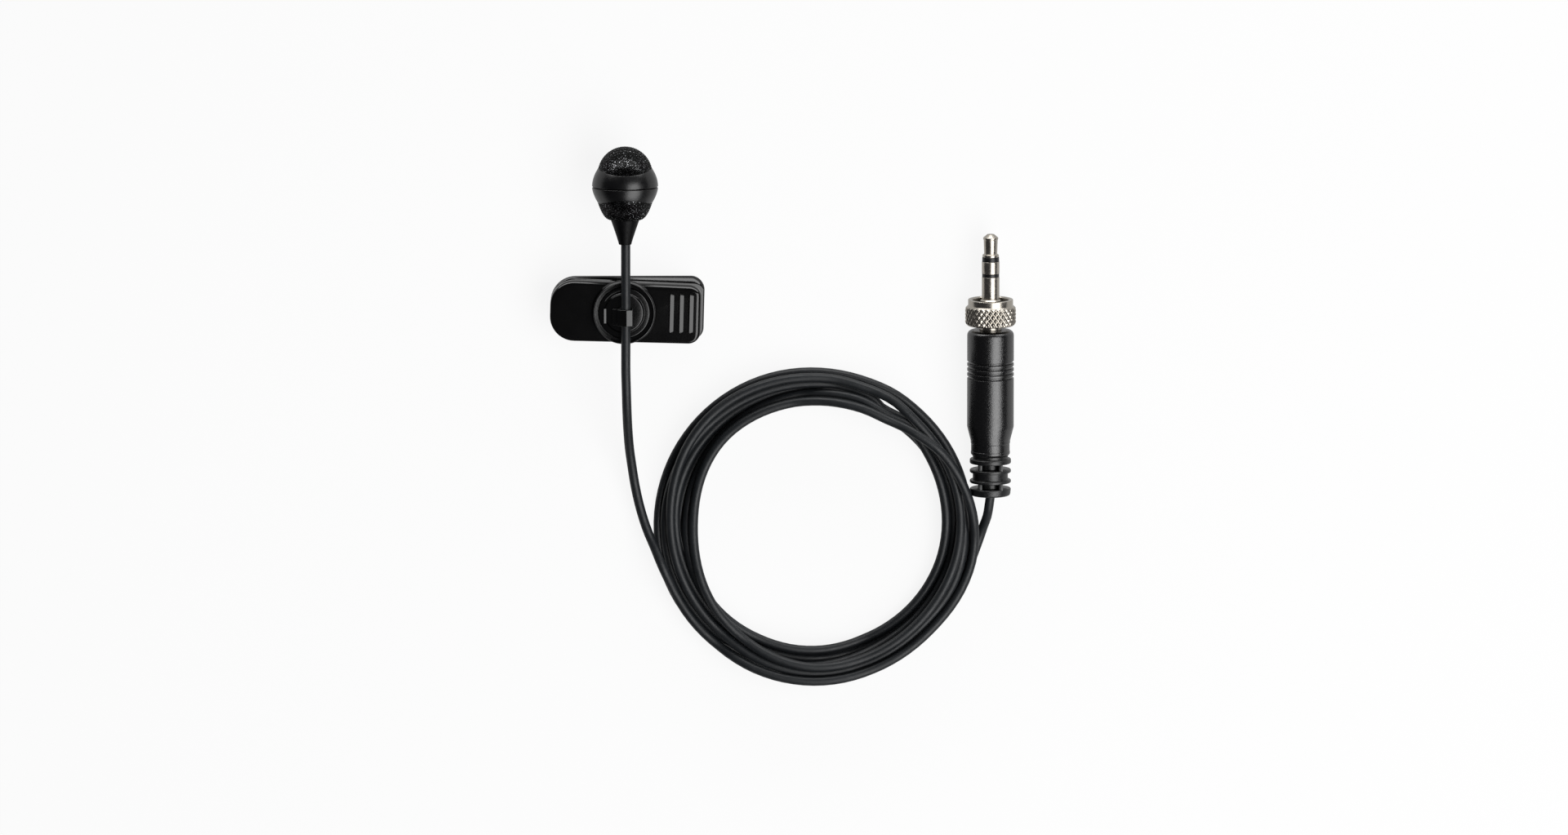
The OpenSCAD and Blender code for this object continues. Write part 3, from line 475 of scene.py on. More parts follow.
class Workpiece:
    """A mesh that is being shaped, in millimetres in its own axes."""

    def __init__(self) -> None:
        """Starts with nothing."""
        self.mesh = bmesh.new()

    def spin(self, outline: list[Point], steps: int = 96, closed: bool = True) -> list[Vert]:
        """Turns an outline round the local Z axis.

        Args:
            outline: Points as (radius, station along the axis).
            steps: Number of facets round the axis.
            closed: True if the last point joins the first.

        Returns:
            The vertices that were made.
        """
        before = set(self.mesh.verts)
        verts = [self.mesh.verts.new((r, 0, a)) for r, a in outline]
        pairs = list(zip(verts, verts[1:])) + ([(verts[-1], verts[0])] if closed else [])
        edges = [self.mesh.edges.new(pair) for pair in pairs]
        bmesh.ops.spin(
            self.mesh, geom=verts + edges, cent=(0, 0, 0), axis=(0, 0, 1), dvec=(0, 0, 0),
            angle=FULL_TURN, steps=steps, use_merge=True, use_duplicate=False,
        )
        made = [v for v in self.mesh.verts if v not in before]
        poles = [v for v in made if math.hypot(v.co.x, v.co.y) < SEAM]
        bmesh.ops.remove_doubles(self.mesh, verts=poles, dist=SEAM)
        return [v for v in self.mesh.verts if v not in before]

    def slab(self, outline: list[Point], low: float, high: float) -> list[Vert]:
        """Raises a flat outline along local Z and returns the new vertices."""
        base = self.mesh.faces.new([self.mesh.verts.new((x, y, low)) for x, y in outline])
        raised = bmesh.ops.extrude_face_region(self.mesh, geom=[base])["geom"]
        top = [v for v in raised if isinstance(v, Vert)]
        bmesh.ops.translate(self.mesh, verts=top, vec=(0, 0, high - low))
        return [*base.verts, *top]

    def loft(self, rings: list[list[Vector]]) -> list[Vert]:
        """Skins a row of rings that have equal counts, closes both ends and returns the vertices."""
        rows = [[self.mesh.verts.new(spot) for spot in ring] for ring in rings]
        for low, high in zip(rows, rows[1:]):
            for k in range(len(low)):
                self.mesh.faces.new((low[k - 1], low[k], high[k], high[k - 1]))
        self.mesh.faces.new(rows[0][::-1])
        self.mesh.faces.new(rows[-1])
        return [v for row in rows for v in row]

    def bar(self, size: Spot, centre: Spot, radius: float, segments: int) -> None:
        """Adds a bar with rounded edges.

        Args:
            size: Its length along X, Y and Z.
            centre: Its middle.
            radius: The radius of all its edges.
            segments: Facets across each rounded edge.
        """
        before = set(self.mesh.verts)
        verts = bmesh.ops.create_cube(self.mesh, size=1.0)["verts"]
        bmesh.ops.scale(self.mesh, verts=verts, vec=size)
        bmesh.ops.translate(self.mesh, verts=verts, vec=centre)
        self.round_edges([e for e in self.mesh.edges if e.verts[0] not in before], radius, segments)

    def rod(self, radius: float, start: Vector, end: Vector, sides: int = 32) -> list[Vert]:
        """Adds a round rod between two points and returns its vertices."""
        along = Vector(end) - Vector(start)
        turn = along.to_track_quat("Z", "Y").to_matrix().to_4x4()
        return bmesh.ops.create_cone(
            self.mesh, cap_ends=True, segments=sides, radius1=radius, radius2=radius, depth=along.length,
            matrix=Matrix.Translation((Vector(start) + Vector(end)) / 2) @ turn,
        )["verts"]

    def round_edges(self, edges: list[Edge], radius: float, segments: int) -> None:
        """Rounds edges with a bevel."""
        bmesh.ops.bevel(
            self.mesh, geom=edges, offset=radius, offset_type="OFFSET", segments=segments,
            profile=0.5, affect="EDGES", material=-1, clamp_overlap=True,
        )

    def steady(self, least: float = 4.0) -> None:
        """Insets the large flat faces a little, so that the rounded edges don't bend their shading."""
        flats = [f for f in self.mesh.faces if len(f.verts) > 4 and f.calc_area() > least]
        bmesh.ops.inset_individual(self.mesh, faces=flats, thickness=0.04, depth=0.0, use_even_offset=True)

    def sharp_edges(self, verts: list[Vert], angle: float = 40.0) -> list[Edge]:
        """Returns the edges among vertices whose faces meet at more than angle degrees."""
        chosen = set(verts)
        return [
            e for e in self.mesh.edges
            if e.verts[0] in chosen and e.verts[1] in chosen
            and len(e.link_faces) == 2 and e.calc_face_angle() > math.radians(angle)
        ]

    def move(self, verts: list[Vert], matrix: Matrix) -> None:
        """Moves vertices by a matrix."""
        bmesh.ops.transform(self.mesh, matrix=matrix, verts=verts)

    def data(self, name: str) -> bpy.types.Mesh:
        """Closes the seams, turns the faces outwards and hands over the mesh."""
        bmesh.ops.remove_doubles(self.mesh, verts=self.mesh.verts[:], dist=SEAM)
        bmesh.ops.recalc_face_normals(self.mesh, faces=self.mesh.faces[:])
        data = bpy.data.meshes.new(name)
        self.mesh.to_mesh(data)
        self.mesh.free()
        return data


def turned(corners: list[Corner], steps: int = 96, closed: bool = True) -> Workpiece:
    """Turns a new workpiece from the corners of its outline."""
    work = Workpiece()
    work.spin(rounded(corners), steps, closed)
    return work


def make_piece(
    name: str, shape: Workpiece | bpy.types.Mesh, place: Matrix, finish: Finish, body: Body | None,
    *replaces: str, crease: float = 38.0,
) -> bpy.types.Object:
    """Puts a shape in its place in the frame, dresses it and lets it ride.

    Args:
        name: The piece's name.
        shape: What it is made from, in millimetres in its own axes.
        place: Where those axes lie in the frame, in millimetres.
        finish: What it is made of.
        body: What it moves with, or None for a piece that is left on no body.
        *replaces: The frame's nodes that it stands for.
        crease: The angle between faces from which an edge is drawn sharp, in degrees.

    Returns:
        The piece.
    """
    data = shape.data(name) if isinstance(shape, Workpiece) else shape
    data.transform(Matrix.Scale(MM, 4) @ place)
    data.shade_smooth()
    data.set_sharp_from_angle(angle=math.radians(crease))
    piece = bpy.data.objects.new(name, data)
    bpy.context.collection.objects.link(piece)
    data.materials.append(finish.make())
    if body:
        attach(piece, body.value)
    if replaces:
        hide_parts(*replaces)
    log.info("%s: %d faces, on %s", name, len(data.polygons), body.value if body else "two bodies")
    return piece


def cut_out(piece: bpy.types.Object, cutter: Workpiece, place: Matrix) -> None:
    """Takes a closed shape out of a piece.

    Args:
        piece: The piece, already in its place.
        cutter: The shape that is taken out.
        place: Where the cutter's own axes lie in the frame, in millimetres.
    """
    data = cutter.data("cutter")
    data.transform(Matrix.Scale(MM, 4) @ place)
    tool = bpy.data.objects.new("cutter", data)
    bpy.context.collection.objects.link(tool)
    modifier = piece.modifiers.new("cut", "BOOLEAN")
    modifier.operation, modifier.solver, modifier.object = "DIFFERENCE", "EXACT", tool
    bpy.context.view_layer.update()
    result = bpy.data.meshes.new_from_object(piece.evaluated_get(bpy.context.evaluated_depsgraph_get()))
    piece.modifiers.remove(modifier)
    piece.data = result
    bpy.data.objects.remove(tool)


def dress(finish: Finish, *nodes: str) -> None:
    """Gives nodes of the frame their material."""
    for node in nodes:
        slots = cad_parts[node].data.materials
        slots.clear()
        slots.append(finish.make())


# ---------- Microphone head ----------


@dataclass
class WireCloth:
    """A woven grille pressed over a turned form.

    The cloth is woven flat and drawn over the form, so its wires keep their spacing along the
    form and close up round it towards the rim.
    """

    form: list[Point]
    first_radius: float = 0.0
    keep: Callable[[Vector], bool] = lambda spot: True
    middle: float = 12.5
    flattened: float = 0.88
    pitch: float = 0.36
    wire: float = 0.19
    swing: float = 0.42
    shortest: int = 3

    def walk(self) -> list[float]:
        """Returns the flat radius of each point of the form, counted along its surface."""
        radii = [self.first_radius]
        for here, there in zip(self.form, self.form[1:]):
            radii.append(radii[-1] + math.dist(here, there))
        return radii

    def drape(self, x: float, y: float, radii: list[float], lift: float) -> Vector | None:
        """Finds where a point of the flat cloth lies on the form.

        Args:
            x, y: The point on the flat cloth.
            radii: What walk() returned.
            lift: Its height above the form's surface.

        Returns:
            The place, or None if the point is off the form or under a ring.
        """
        flat = math.hypot(x, y)
        if not radii[0] <= flat < radii[-1]:
            return None
        i = next(k for k in range(1, len(radii)) if flat < radii[k]) - 1
        share = (flat - radii[i]) / (radii[i + 1] - radii[i])
        (r0, a0), (r1, a1) = self.form[i], self.form[i + 1]
        r, a = r0 + (r1 - r0) * share, a0 + (a1 - a0) * share
        run, rise = r1 - r0, a1 - a0
        length = math.hypot(run, rise)
        out = 1 if self.form[0][0] < 1 else -1
        r, a = r - out * lift * rise / length, a + out * lift * run / length
        spot = Vector((x, y, 0)) / max(flat, TINY) * r + Vector((0, 0, a))
        return spot if self.keep(spot) else None

    def runs(self) -> list[list[Vector]]:
        """Returns each wire's points, over and under the wires that it crosses."""
        radii = self.walk()
        reach = math.ceil(radii[-1] / self.pitch)
        runs: list[list[Vector]] = []
        for i in range(-reach, reach + 1):
            for crosswise in (False, True):
                run: list[Vector] = []
                for k in range(-2 * reach, 2 * reach + 2):
                    along, across = k * self.pitch / 2, (i + 0.5) * self.pitch
                    over = math.cos(math.pi * (k / 2 - 0.5 + i)) * (-1 if crosswise else 1)
                    x, y = (across, along) if crosswise else (along, across)
                    spot = self.drape(x, y, radii, over * self.wire * self.swing)
                    if spot is not None:
                        run.append(spot)
                    if spot is None or k == 2 * reach + 1:
                        runs.append(run)
                        run = []
        return [run for run in runs if len(run) >= self.shortest]

    def weave(self, name: str, place: Matrix, node: str) -> None:
        """Weaves the cloth.

        The press flattens the wires where they show, so their shading leans to the form's own.

        Args:
            name: The piece's name.
            place: Where the head's own axes lie.
            node: The frame's node that it stands for.
        """
        cloth = curve_mesh(round_curve(name, self.runs(), self.wire, 1))
        piece = make_piece(name, cloth, place, WIRE_CLOTH, Body.MICROPHONE, node, crease=80)
        middle = place @ Vector((0, 0, self.middle)) * MM
        share = self.flattened
        piece.data.normals_split_custom_set_from_vertices([
            (v.normal * (1 - share) + (v.co - middle).normalized() * share).normalized()
            for v in piece.data.vertices
        ])


@dataclass
class HeadRing:
    """One of the head's two rings, from the groove between them to its wavy edge beside a grille."""

    groove: float
    rim: float
    power: float
    dip: float
    widest: float = 6.55
    narrowest: float = 5.3
    steps: int = 14

    def radius(self, share: float) -> float:
        """Returns the ring's radius at a share of the way from the groove to the rim."""
        return self.widest - (self.widest - self.narrowest) * share**self.power

    def station(self, share: float) -> float:
        """Returns the station at a share of the way from the groove to the rim."""
        return self.groove + (self.rim - self.groove) * share

    def edge(self, spot: Vector) -> float:
        """Returns the station of the wavy edge, which comes closer to the groove above and below."""
        dip = self.dip * spot.y**2 / max(spot.x**2 + spot.y**2, TINY)
        return self.rim + math.copysign(dip, self.groove - self.rim)

    def outside(self) -> list[Corner]:
        """Returns the outline between the groove and the rim."""
        shares = [k / self.steps for k in range(1, self.steps)]
        return [(self.radius(share), self.station(share), 0.0) for share in shares]

    def tucked(self, inset: float, lift: float = 0.0) -> list[Point]:
        """Returns the outline of a grille under the ring, from the rim inwards, at an inset."""
        depth, steps = (self.dip + 0.3) / abs(self.rim - self.groove), 8
        shares = [1 - depth * k / steps for k in range(1, steps + 1)]
        return [(self.radius(share) - inset, self.station(share) + lift) for share in shares]

    def turn(self, name: str, corners: list[Corner], place: Matrix, node: str) -> None:
        """Turns the ring and draws its edge along its own surface to the wavy line.

        Args:
            name: The piece's name.
            corners: Its outline.
            place: Where the head's own axes lie.
            node: The frame's node that it stands for.
        """
        work = turned(corners, steps=160)
        length = self.rim - self.groove
        for vert in work.mesh.verts:
            share = (vert.co.z - self.groove) / length
            if share > 0:
                moved = share * (self.edge(vert.co) - self.groove) / length
                grown = 1 + (self.radius(moved) - self.radius(share)) / math.hypot(vert.co.x, vert.co.y)
                vert.co = (vert.co.x * grown, vert.co.y * grown, self.station(moved))
        make_piece(name, work, place, HEAD_ABS, Body.MICROPHONE, node)


@dataclass
class Head:
    """The microphone's head: two rings with a groove between them, a grille at each end, and the boot."""

    aside: float = -0.11
    droop: float = DROOP
    bore: float = 4.97
    spigot: float = 5.58
    boot_length: float = 5.0
    boot_tip: float = 1.23
    boot_base: float = 2.86
    boot_bore: float = LEAD_BORE
    length: float = 19.55
    edge: float = 0.14
    tuck: float = 0.2
    front: HeadRing = field(default_factory=lambda: HeadRing(groove=11.6, rim=15.3, power=2.0, dip=1.1))
    rear: HeadRing = field(default_factory=lambda: HeadRing(groove=11.4, rim=8.2, power=1.6, dip=1.0))

    @property
    def place(self) -> Matrix:
        """Where local Z runs from the boot's thin end to the front grille."""
        return placed((BOOT_END[0] + self.aside, *BOOT_END[1:]), -90 - self.droop)

    def rings(self) -> None:
        """Turns the two rings, with fine lips at the groove and at the grilles."""
        widest, narrowest = self.front.widest, self.front.narrowest
        start, end, spigot = self.front.groove, self.front.rim, self.spigot + 0.02
        self.front.turn("front_ring", [
            (self.spigot + 0.3, start, 0.0), (widest, start, self.edge), *self.front.outside(),
            (narrowest, end, 0.15), (self.bore, end, 0.05), (self.bore, start + 1.0, 0.0),
            (spigot, start + 1.0, 0.0), (spigot, start, 0.0),
        ], self.place, "head_front_ring")
        start, end = self.rear.rim, self.rear.groove
        self.rear.turn("rear_ring", [
            (self.bore, start + 1.2, 0.0), (self.bore, start, 0.06), (narrowest, start, 0.1),
            *self.rear.outside()[::-1], (widest, end, self.edge), (self.spigot, end, 0.0),
            (self.spigot, end + 1.2, 0.0), (self.bore, end + 1.2, 0.0),
        ], self.place, "head_rear_ring")

    def front_form(self, inset: float) -> list[Point]:
        """Returns the outline of the front grille, from its pole to under the ring, at an inset."""
        height, radius = self.length - self.front.rim, self.front.narrowest
        dome = (radius**2 + height**2) / (2 * height)
        widest = math.asin(radius / dome)
        centre, steps = self.length - dome, 24
        angles = [widest * k / steps for k in range(steps + 1)]
        cap = [((dome - inset) * math.sin(a), centre + (dome - inset) * math.cos(a)) for a in angles]
        return cap + self.front.tucked(inset)

    def rear_form(self, inset: float) -> list[Point]:
        """Returns the outline of the rear grille, from the boot to under the ring, at an inset."""
        run = self.rear.narrowest - self.boot_base
        rise = self.rear.rim - self.boot_length
        steps, slant = 24, 0.7
        bowl = [
            (self.boot_base + run * t - inset * slant, self.boot_length + rise * t**2.3 + inset * slant)
            for t in (k / steps for k in range(steps + 1))
        ]
        return bowl + self.rear.tucked(inset, lift=inset * 0.3)

    def grilles(self) -> None:
        """Weaves the domed front grille and the bowl of the rear one, each tucked under its ring."""
        front = WireCloth(self.front_form(0.14), keep=lambda p: p.z > self.front.edge(p) - self.tuck)
        front.weave("front_grille", self.place, "head_front_grille")
        rear = WireCloth(
            self.rear_form(0.1), first_radius=self.boot_base, middle=11.5,
            keep=lambda p: p.z < self.rear.edge(p) + self.tuck,
        )
        rear.weave("rear_grille", self.place, "head_rear_grille")

    def backing(self) -> None:
        """Turns the black acoustic cloth that lies close under each grille."""
        for name, form in (("front_cloth", self.front_form), ("rear_cloth", self.rear_form)):
            cloth = Workpiece()
            cloth.spin(form(0.5) + form(0.62)[::-1], closed=name == "rear_cloth")
            make_piece(name, cloth, self.place, GRILLE_FOAM, Body.MICROPHONE)

    def boot(self) -> None:
        """Turns the tapered boot, whose wide end flares into the bowl and is rolled at its thin end."""
        tip, base, length, bore = self.boot_tip, self.boot_base, self.boot_length, self.boot_bore
        steps = 18
        shares = [k / steps for k in range(1, steps)]
        outside = [(tip + (base - tip) * share**1.1, length * share, 0.0) for share in shares]
        corners = [
            (bore, 0.4, 0.0), (bore, 0.0, 0.06), (tip, 0.0, 0.12), *outside, (base, length - 0.05, 0.0),
            (base - 0.12, length + 0.12, 0.0), (base - 0.5, length + 0.2, 0.0), (bore, length + 0.2, 0.0),
        ]
        make_piece("boot", turned(corners), self.place, BOOT_RUBBER, Body.MICROPHONE, "head_boot")

    def build(self) -> None:
        """Builds the head and dresses what it holds."""
        self.rings()
        self.grilles()
        self.backing()
        self.boot()
        dress(GRILLE_FOAM, "front_foam", "rear_foam")
        dress(CAN_ALUMINIUM, "capsule_can")
        dress(BOOT_RUBBER, "capsule_gasket")
        dress(GOLD_FLASH, "diaphragm", "backplate")
        dress(WHITE_NYLON, "insulator_cup")
        dress(SOLDER_MASK, "capsule_board")
        dress(BLACK_ACETAL, "amplifier_chip")
        dress(JACKET_PVC, "head_cable_end")
        dress(WIRE_PVC, "head_wires")


# ---------- Holder and clip ----------


@dataclass
class Holder:
    """The swivel disc and the hook on it that grips the lead."""

    axis: Spot = SWIVEL_AXIS
    disc_low: float = 8.905
    disc_thick: float = 0.7
    disc_radius: float = 5.13
    boss_radius: float = 3.85
    boss_top: float = SWIVEL_TOP
    rivet_radius: float = 1.42
    lead_x: float = -0.05
    lead_z: float = 11.3
    bore: float = 0.965
    wall: float = 0.43
    hook_left: float = -2.7
    hook_middle: float = -14.0
    hook_length: float = 3.3
    slot_height: float = 0.8
    eaves: float = 12.3
    ridge_x: float = 0.05
    ridge_z: float = 12.65
    lip_x: float = -1.84

    @property
    def place(self) -> Matrix:
        """Where local Z is the swivel's axis."""
        return placed(self.axis)

    def disc(self) -> None:
        """Turns the disc with its raised boss, and adds the key at its side."""
        step = self.disc_low + self.disc_thick
        corners = [
            (self.rivet_radius, self.disc_low, 0.0), (self.disc_radius, self.disc_low, 0.1),
            (self.disc_radius, step, 0.2), (self.boss_radius + 0.2, step, 0.12),
            (self.boss_radius, step + 0.2, 0.1), (self.boss_radius, self.boss_top, 0.22),
            (self.rivet_radius, self.boss_top, 0.0),
        ]
        disc = turned(corners, steps=144)
        key_x, key_y, key_length = -self.boss_radius + 0.08, -0.55, 2.9
        key = disc.slab(
            [(-0.27, step - 0.1), (0.27, step - 0.1), (0.27, self.boss_top - 0.08), (0.22, self.boss_top),
             (-0.2, self.boss_top + 0.14), (-0.27, self.boss_top + 0.08)],
            -key_length / 2, key_length / 2,
        )
        disc.move(key, placed((key_x, key_y, 0), 90))
        rib, rib_radius, rib_steps = 0.26, 4.5, 12
        arc = [math.radians(98 + 50 * k / rib_steps) for k in range(rib_steps + 1)]
        ring = [Vector((rib_radius * math.cos(a), rib_radius * math.sin(a), step)) for a in arc]
        for start, end in zip(ring, ring[1:]):
            disc.rod(rib / 2, start, end, sides=16)
        make_piece("swivel_plate", disc, self.place, CLIP_PLASTIC, Body.HOLDER, "swivel_disc")

    def hook(self) -> None:
        """Shapes the hook: a roof over the lead with a short steep side and a long one above the slot."""
        steps = 40
        right = self.lead_x + self.bore + self.wall
        half_slot = self.slot_height / 2
        lip = math.asin(half_slot / self.bore)
        bore = [
            (self.lead_x + self.bore * math.cos(a), self.lead_z + self.bore * math.sin(a))
            for a in (math.pi - lip - (FULL_TURN - 2 * lip) * k / steps for k in range(steps + 1))
        ]
        outline = [
            (self.hook_left, self.boss_top), (right, self.boss_top), (right, self.eaves),
            (self.ridge_x, self.ridge_z), (self.lip_x, self.lead_z + half_slot), *bore,
            (self.hook_left, self.lead_z - half_slot),
        ]
        hook = Workpiece()
        verts = hook.slab(outline, -self.hook_length / 2, self.hook_length / 2)
        hook.round_edges(hook.sharp_edges(verts), 0.15, 4)
        hook.steady(1.0)
        upright = placed((0, self.hook_middle, 0), 90)
        make_piece("lead_hook", hook, upright, CLIP_PLASTIC, Body.HOLDER, "cable_hook", crease=30)

    def build(self) -> None:
        """Builds the holder and dresses its rivet and washer."""
        self.disc()
        self.hook()
        dress(SPRING_STEEL, "swivel_rivet", "friction_washer")


@dataclass
class Clip:
    """The clothing clip: a front jaw with the swivel's collar, a rear jaw, a hinge pin and a spring."""

    axis: Spot = SWIVEL_AXIS
    turn: float = 1.5
    tip_x: float = 14.7
    finger_x: float = 15.3
    width: float = 12.2
    jaw_top: float = 8.555
    jaw_under: float = 6.655
    tip_corner: float = 4.9
    finger_corner: float = 2.5
    collar_radius: float = 6.15
    collar_bore: float = 5.18
    collar_top: float = SWIVEL_TOP
    rib_width: float = 0.9
    rib_length: float = 8.5
    rib_height: float = 0.35
    rib_first: float = 9.4
    rib_pitch: float = 1.95
    ribs: int = 3
    pivot_x: float = 1.0
    pivot_z: float = 5.355
    knuckle_radius: float = 1.0
    knuckle_length: float = 1.3
    front_knuckle: float = 3.235
    rear_knuckle: float = 1.835
    overlap: float = 0.1
    rivet_bore: float = 1.45
    washer_bore: float = 2.35
    washer_depth: float = 0.65
    pin_radius: float = 0.52
    splay: float = 8.6066
    rear_drop: float = 1.44
    rear_thick: float = 1.7
    rear_length: float = 30.7
    rear_start: float = -15.4
    bow: float = 0.6
    rear_chamfer: float = 1.1
    margin: float = 0.25
    wire: float = 0.45
    spring_radius: float = 0.895
    spring_turns: int = 3
    spring_pitch: float = 0.87
    spring_leg: float = 7.0
    crown: float = 1.2
    taper: float = 0.5
    edge: float = 0.3

    @property
    def place(self) -> Matrix:
        """Where local Z is the swivel's axis, turned with the clip."""
        return placed(self.axis, -self.turn, "Z")

    @property
    def hinge(self) -> Matrix:
        """Where local Y is the hinge's axis, level with the front jaw."""
        return self.place @ placed((self.pivot_x, 0, self.pivot_z))

    @property
    def rear(self) -> Matrix:
        """Where local Y is the hinge's axis, level with the rear jaw."""
        return self.hinge @ placed((0, 0, 0), self.splay, "Y")

    def outline(self, start: float, end: float, width: float) -> list[Point]:
        """Returns a jaw's outline, with wide corners at its tip and smaller ones at its finger end."""
        tip, finger, steps = self.tip_corner, self.finger_corner, 12
        high_tip, high_finger = width / 2 - tip, width / 2 - finger
        corners = (
            (end - finger, high_finger, finger, 0), (start + tip, high_tip, tip, 90),
            (start + tip, -high_tip, tip, 180), (end - finger, -high_finger, finger, 270),
        )
        return [
            (x + r * math.cos(a), y + r * math.sin(a))
            for x, y, r, first in corners
            for a in (math.radians(first + 90 * k / steps) for k in range(steps + 1))
        ]

    def knuckles(self, name: str, inner: float, web_z: float, place: Matrix, body: Body) -> None:
        """Makes a pair of hinge knuckles with the webs that carry them, round the local Y axis.

        Args:
            name: The pair's name.
            inner: How far from the middle they start.
            web_z: The height of the plate that the webs reach, above or below the axis.
            place: Where the hinge's own axes lie.
            body: What they move with.
        """
        work = Workpiece()
        half, bore, radius = self.knuckle_length / 2, self.pin_radius, self.knuckle_radius
        within = 0.98
        profile = rounded([(bore, -half, 0), (radius, -half, 0.08), (radius, half, 0.08), (bore, half, 0)])
        for side in (-1, 1):
            middle = side * (inner + half)
            shell = work.spin(profile, steps=48)
            work.move(shell, placed((0, middle, 0), 90))
            root = math.copysign(bore, web_z)
            size = (2 * radius * within, 2 * half * within, abs(web_z - root))
            work.bar(size, (0, middle, (web_z + root) / 2), radius=0.05, segments=1)
        make_piece(name, work, place, CLIP_PLASTIC, body)

    def rib(self, work: Workpiece, middle: float) -> None:
        """Raises one grip rib, steep towards the swivel and sloping to the finger end, with pointed ends."""
        half = self.rib_width / 2
        section = (
            (-half, -0.2), (-half, 0.5 * self.rib_height), (0.07 - half, 0.85 * self.rib_height),
            (0.18 - half, self.rib_height), (half - 0.12, 0.42 * self.rib_height), (half, 0.1), (half, -0.2),
        )
        ends = ((0.0, 0.15, -0.1), (0.45, 0.85, -0.02), (0.8, 1.0, 0.0))
        rings = []
        for side, order in ((-1, ends), (1, ends[::-1])):
            for inset, width, sink in order:
                y = side * (self.rib_length / 2 - inset)
                rings.append([Vector((middle + x * width, y, self.jaw_top + z + sink)) for x, z in section])
        work.loft(rings)

    def front_round(self, spot: Vector, way: Vector) -> float:
        """Returns the front plate's edge radius, wide on the far side and at the finger end."""
        along = (spot.x + self.tip_x) / (self.tip_x + self.finger_x)
        far = max(0.0, way.y) * (0.75 + 0.5 * along)
        finger = max(0.0, way.x) ** 2 * self.crown * 0.6
        near = max(0.0, -way.y) * 0.3 * along
        return self.edge + max(far, finger, near)

    def rear_round(self, spot: Vector, way: Vector) -> float:
        """Returns the width of the rear plate's chamfer, which widens on the far side to the right."""
        share = min(max((spot.x + 1) / 12, 0.0), 1.0)
        return self.edge + max(0.0, way.y) * self.rear_chamfer * share * share * (3 - 2 * share)

    def plate(
        self, work: Workpiece, points: list[Vector], low: float, high: float,
        width: Callable[[Vector, Vector], float], fullness: float = 1.0,
    ) -> list[Vert]:
        """Skins a plate whose top edges change round its outline.

        Args:
            work: What it goes into.
            points: Its outline, flat.
            low: The height of its underside.
            high: The height of its top.
            width: Gives the width of the top edge at a point, from the point and the way out.
            fullness: 1 for round edges; from 1 to 2, ever flatter chamfers.

        Returns:
            Its vertices.
        """
        count = len(points)
        ways = []
        for k in range(count):
            run = points[(k + 1) % count] - points[k - 1]
            ways.append(Vector((run.y, -run.x)).normalized())
        steps = 10
        rings = [[(p - w * self.edge).to_3d() + Vector((0, 0, low)) for p, w in zip(points, ways)]]
        rings.append([p.to_3d() + Vector((0, 0, low + self.edge)) for p in points])
        for k in range(steps + 1):
            a = math.radians(90 * k / steps)
            inward, down = 1 - math.cos(a) ** fullness, 1 - math.sin(a) ** fullness
            ring = []
            for p, w in zip(points, ways):
                r = width(p, w)
                ring.append((p - w * r * inward).to_3d() + Vector((0, 0, high - r * down)))
            rings.append(ring)
        return work.loft(rings)

    def part(self, name: str, work: Workpiece, *nodes: str, rear: bool = False) -> bpy.types.Object:
        """Makes a piece of the front jaw, or of the rear one.

        Args:
            name: The piece's name.
            work: What it is made from.
            *nodes: The frame's nodes that it stands for.
            rear: True for the rear jaw.

        Returns:
            The piece.
        """
        place, body = (self.rear, Body.REAR_JAW) if rear else (self.place, Body.FRONT_JAW)
        return make_piece(name, work, place, CLIP_PLASTIC, body, *nodes, crease=30)

    def front(self) -> None:
        """Shapes the front jaw with its collar, grip ribs, teeth and knuckles."""
        top, under = self.jaw_top, self.jaw_under
        points = [
            Vector((x, y - self.taper * max(0.0, y) / self.width * (x + self.tip_x) / self.finger_x))
            for x, y in self.outline(-self.tip_x, self.finger_x, self.width)
        ]
        jaw = Workpiece()
        self.plate(jaw, points, under, top, self.front_round)
        jaw.steady()
        piece = self.part("front_jaw_plate", jaw, "front_jaw")
        bores = Workpiece()
        bores.rod(self.rivet_bore, Vector((0, 0, under - 1)), Vector((0, 0, top + 1)))
        bores.rod(self.washer_bore, Vector((0, 0, under - 1)), Vector((0, 0, under + self.washer_depth)))
        cut_out(piece, bores, self.place)
        step, land, outer = 9.35, 5.85, self.collar_radius
        collar = [
            (self.collar_bore, top - 0.2, 0), (self.collar_bore, step, 0.05), (land, step, 0.1),
            (land, self.collar_top, 0.14), (outer + 0.05, self.collar_top - 0.06, 0.3),
            (outer + 0.1, top + 0.3, 0.25), (outer + 0.3, top - 0.01, 0), (outer + 0.2, top - 0.2, 0),
        ]
        trim = turned(collar, steps=144)
        teeth, tooth_pitch, tooth, half_length = 4, 0.9, 0.25, 1.5
        for i in range(teeth):
            ridge = trim.slab([(0, 0), (2 * tooth, 0), (tooth, tooth)], -half_length, half_length)
            spot = (-self.tip_x + 0.5 + i * tooth_pitch, 0, under)
            trim.move(ridge, placed(spot, 90) @ Matrix.Scale(-1, 4, (0, 1, 0)))
        self.part("swivel_collar", trim)
        web = under - self.pivot_z + self.overlap
        self.knuckles("front_knuckles", self.front_knuckle, web, self.hinge, Body.FRONT_JAW)
        grip = Workpiece()
        for i in range(self.ribs):
            self.rib(grip, self.rib_first + i * self.rib_pitch)
        self.part("grip_ribs", grip)

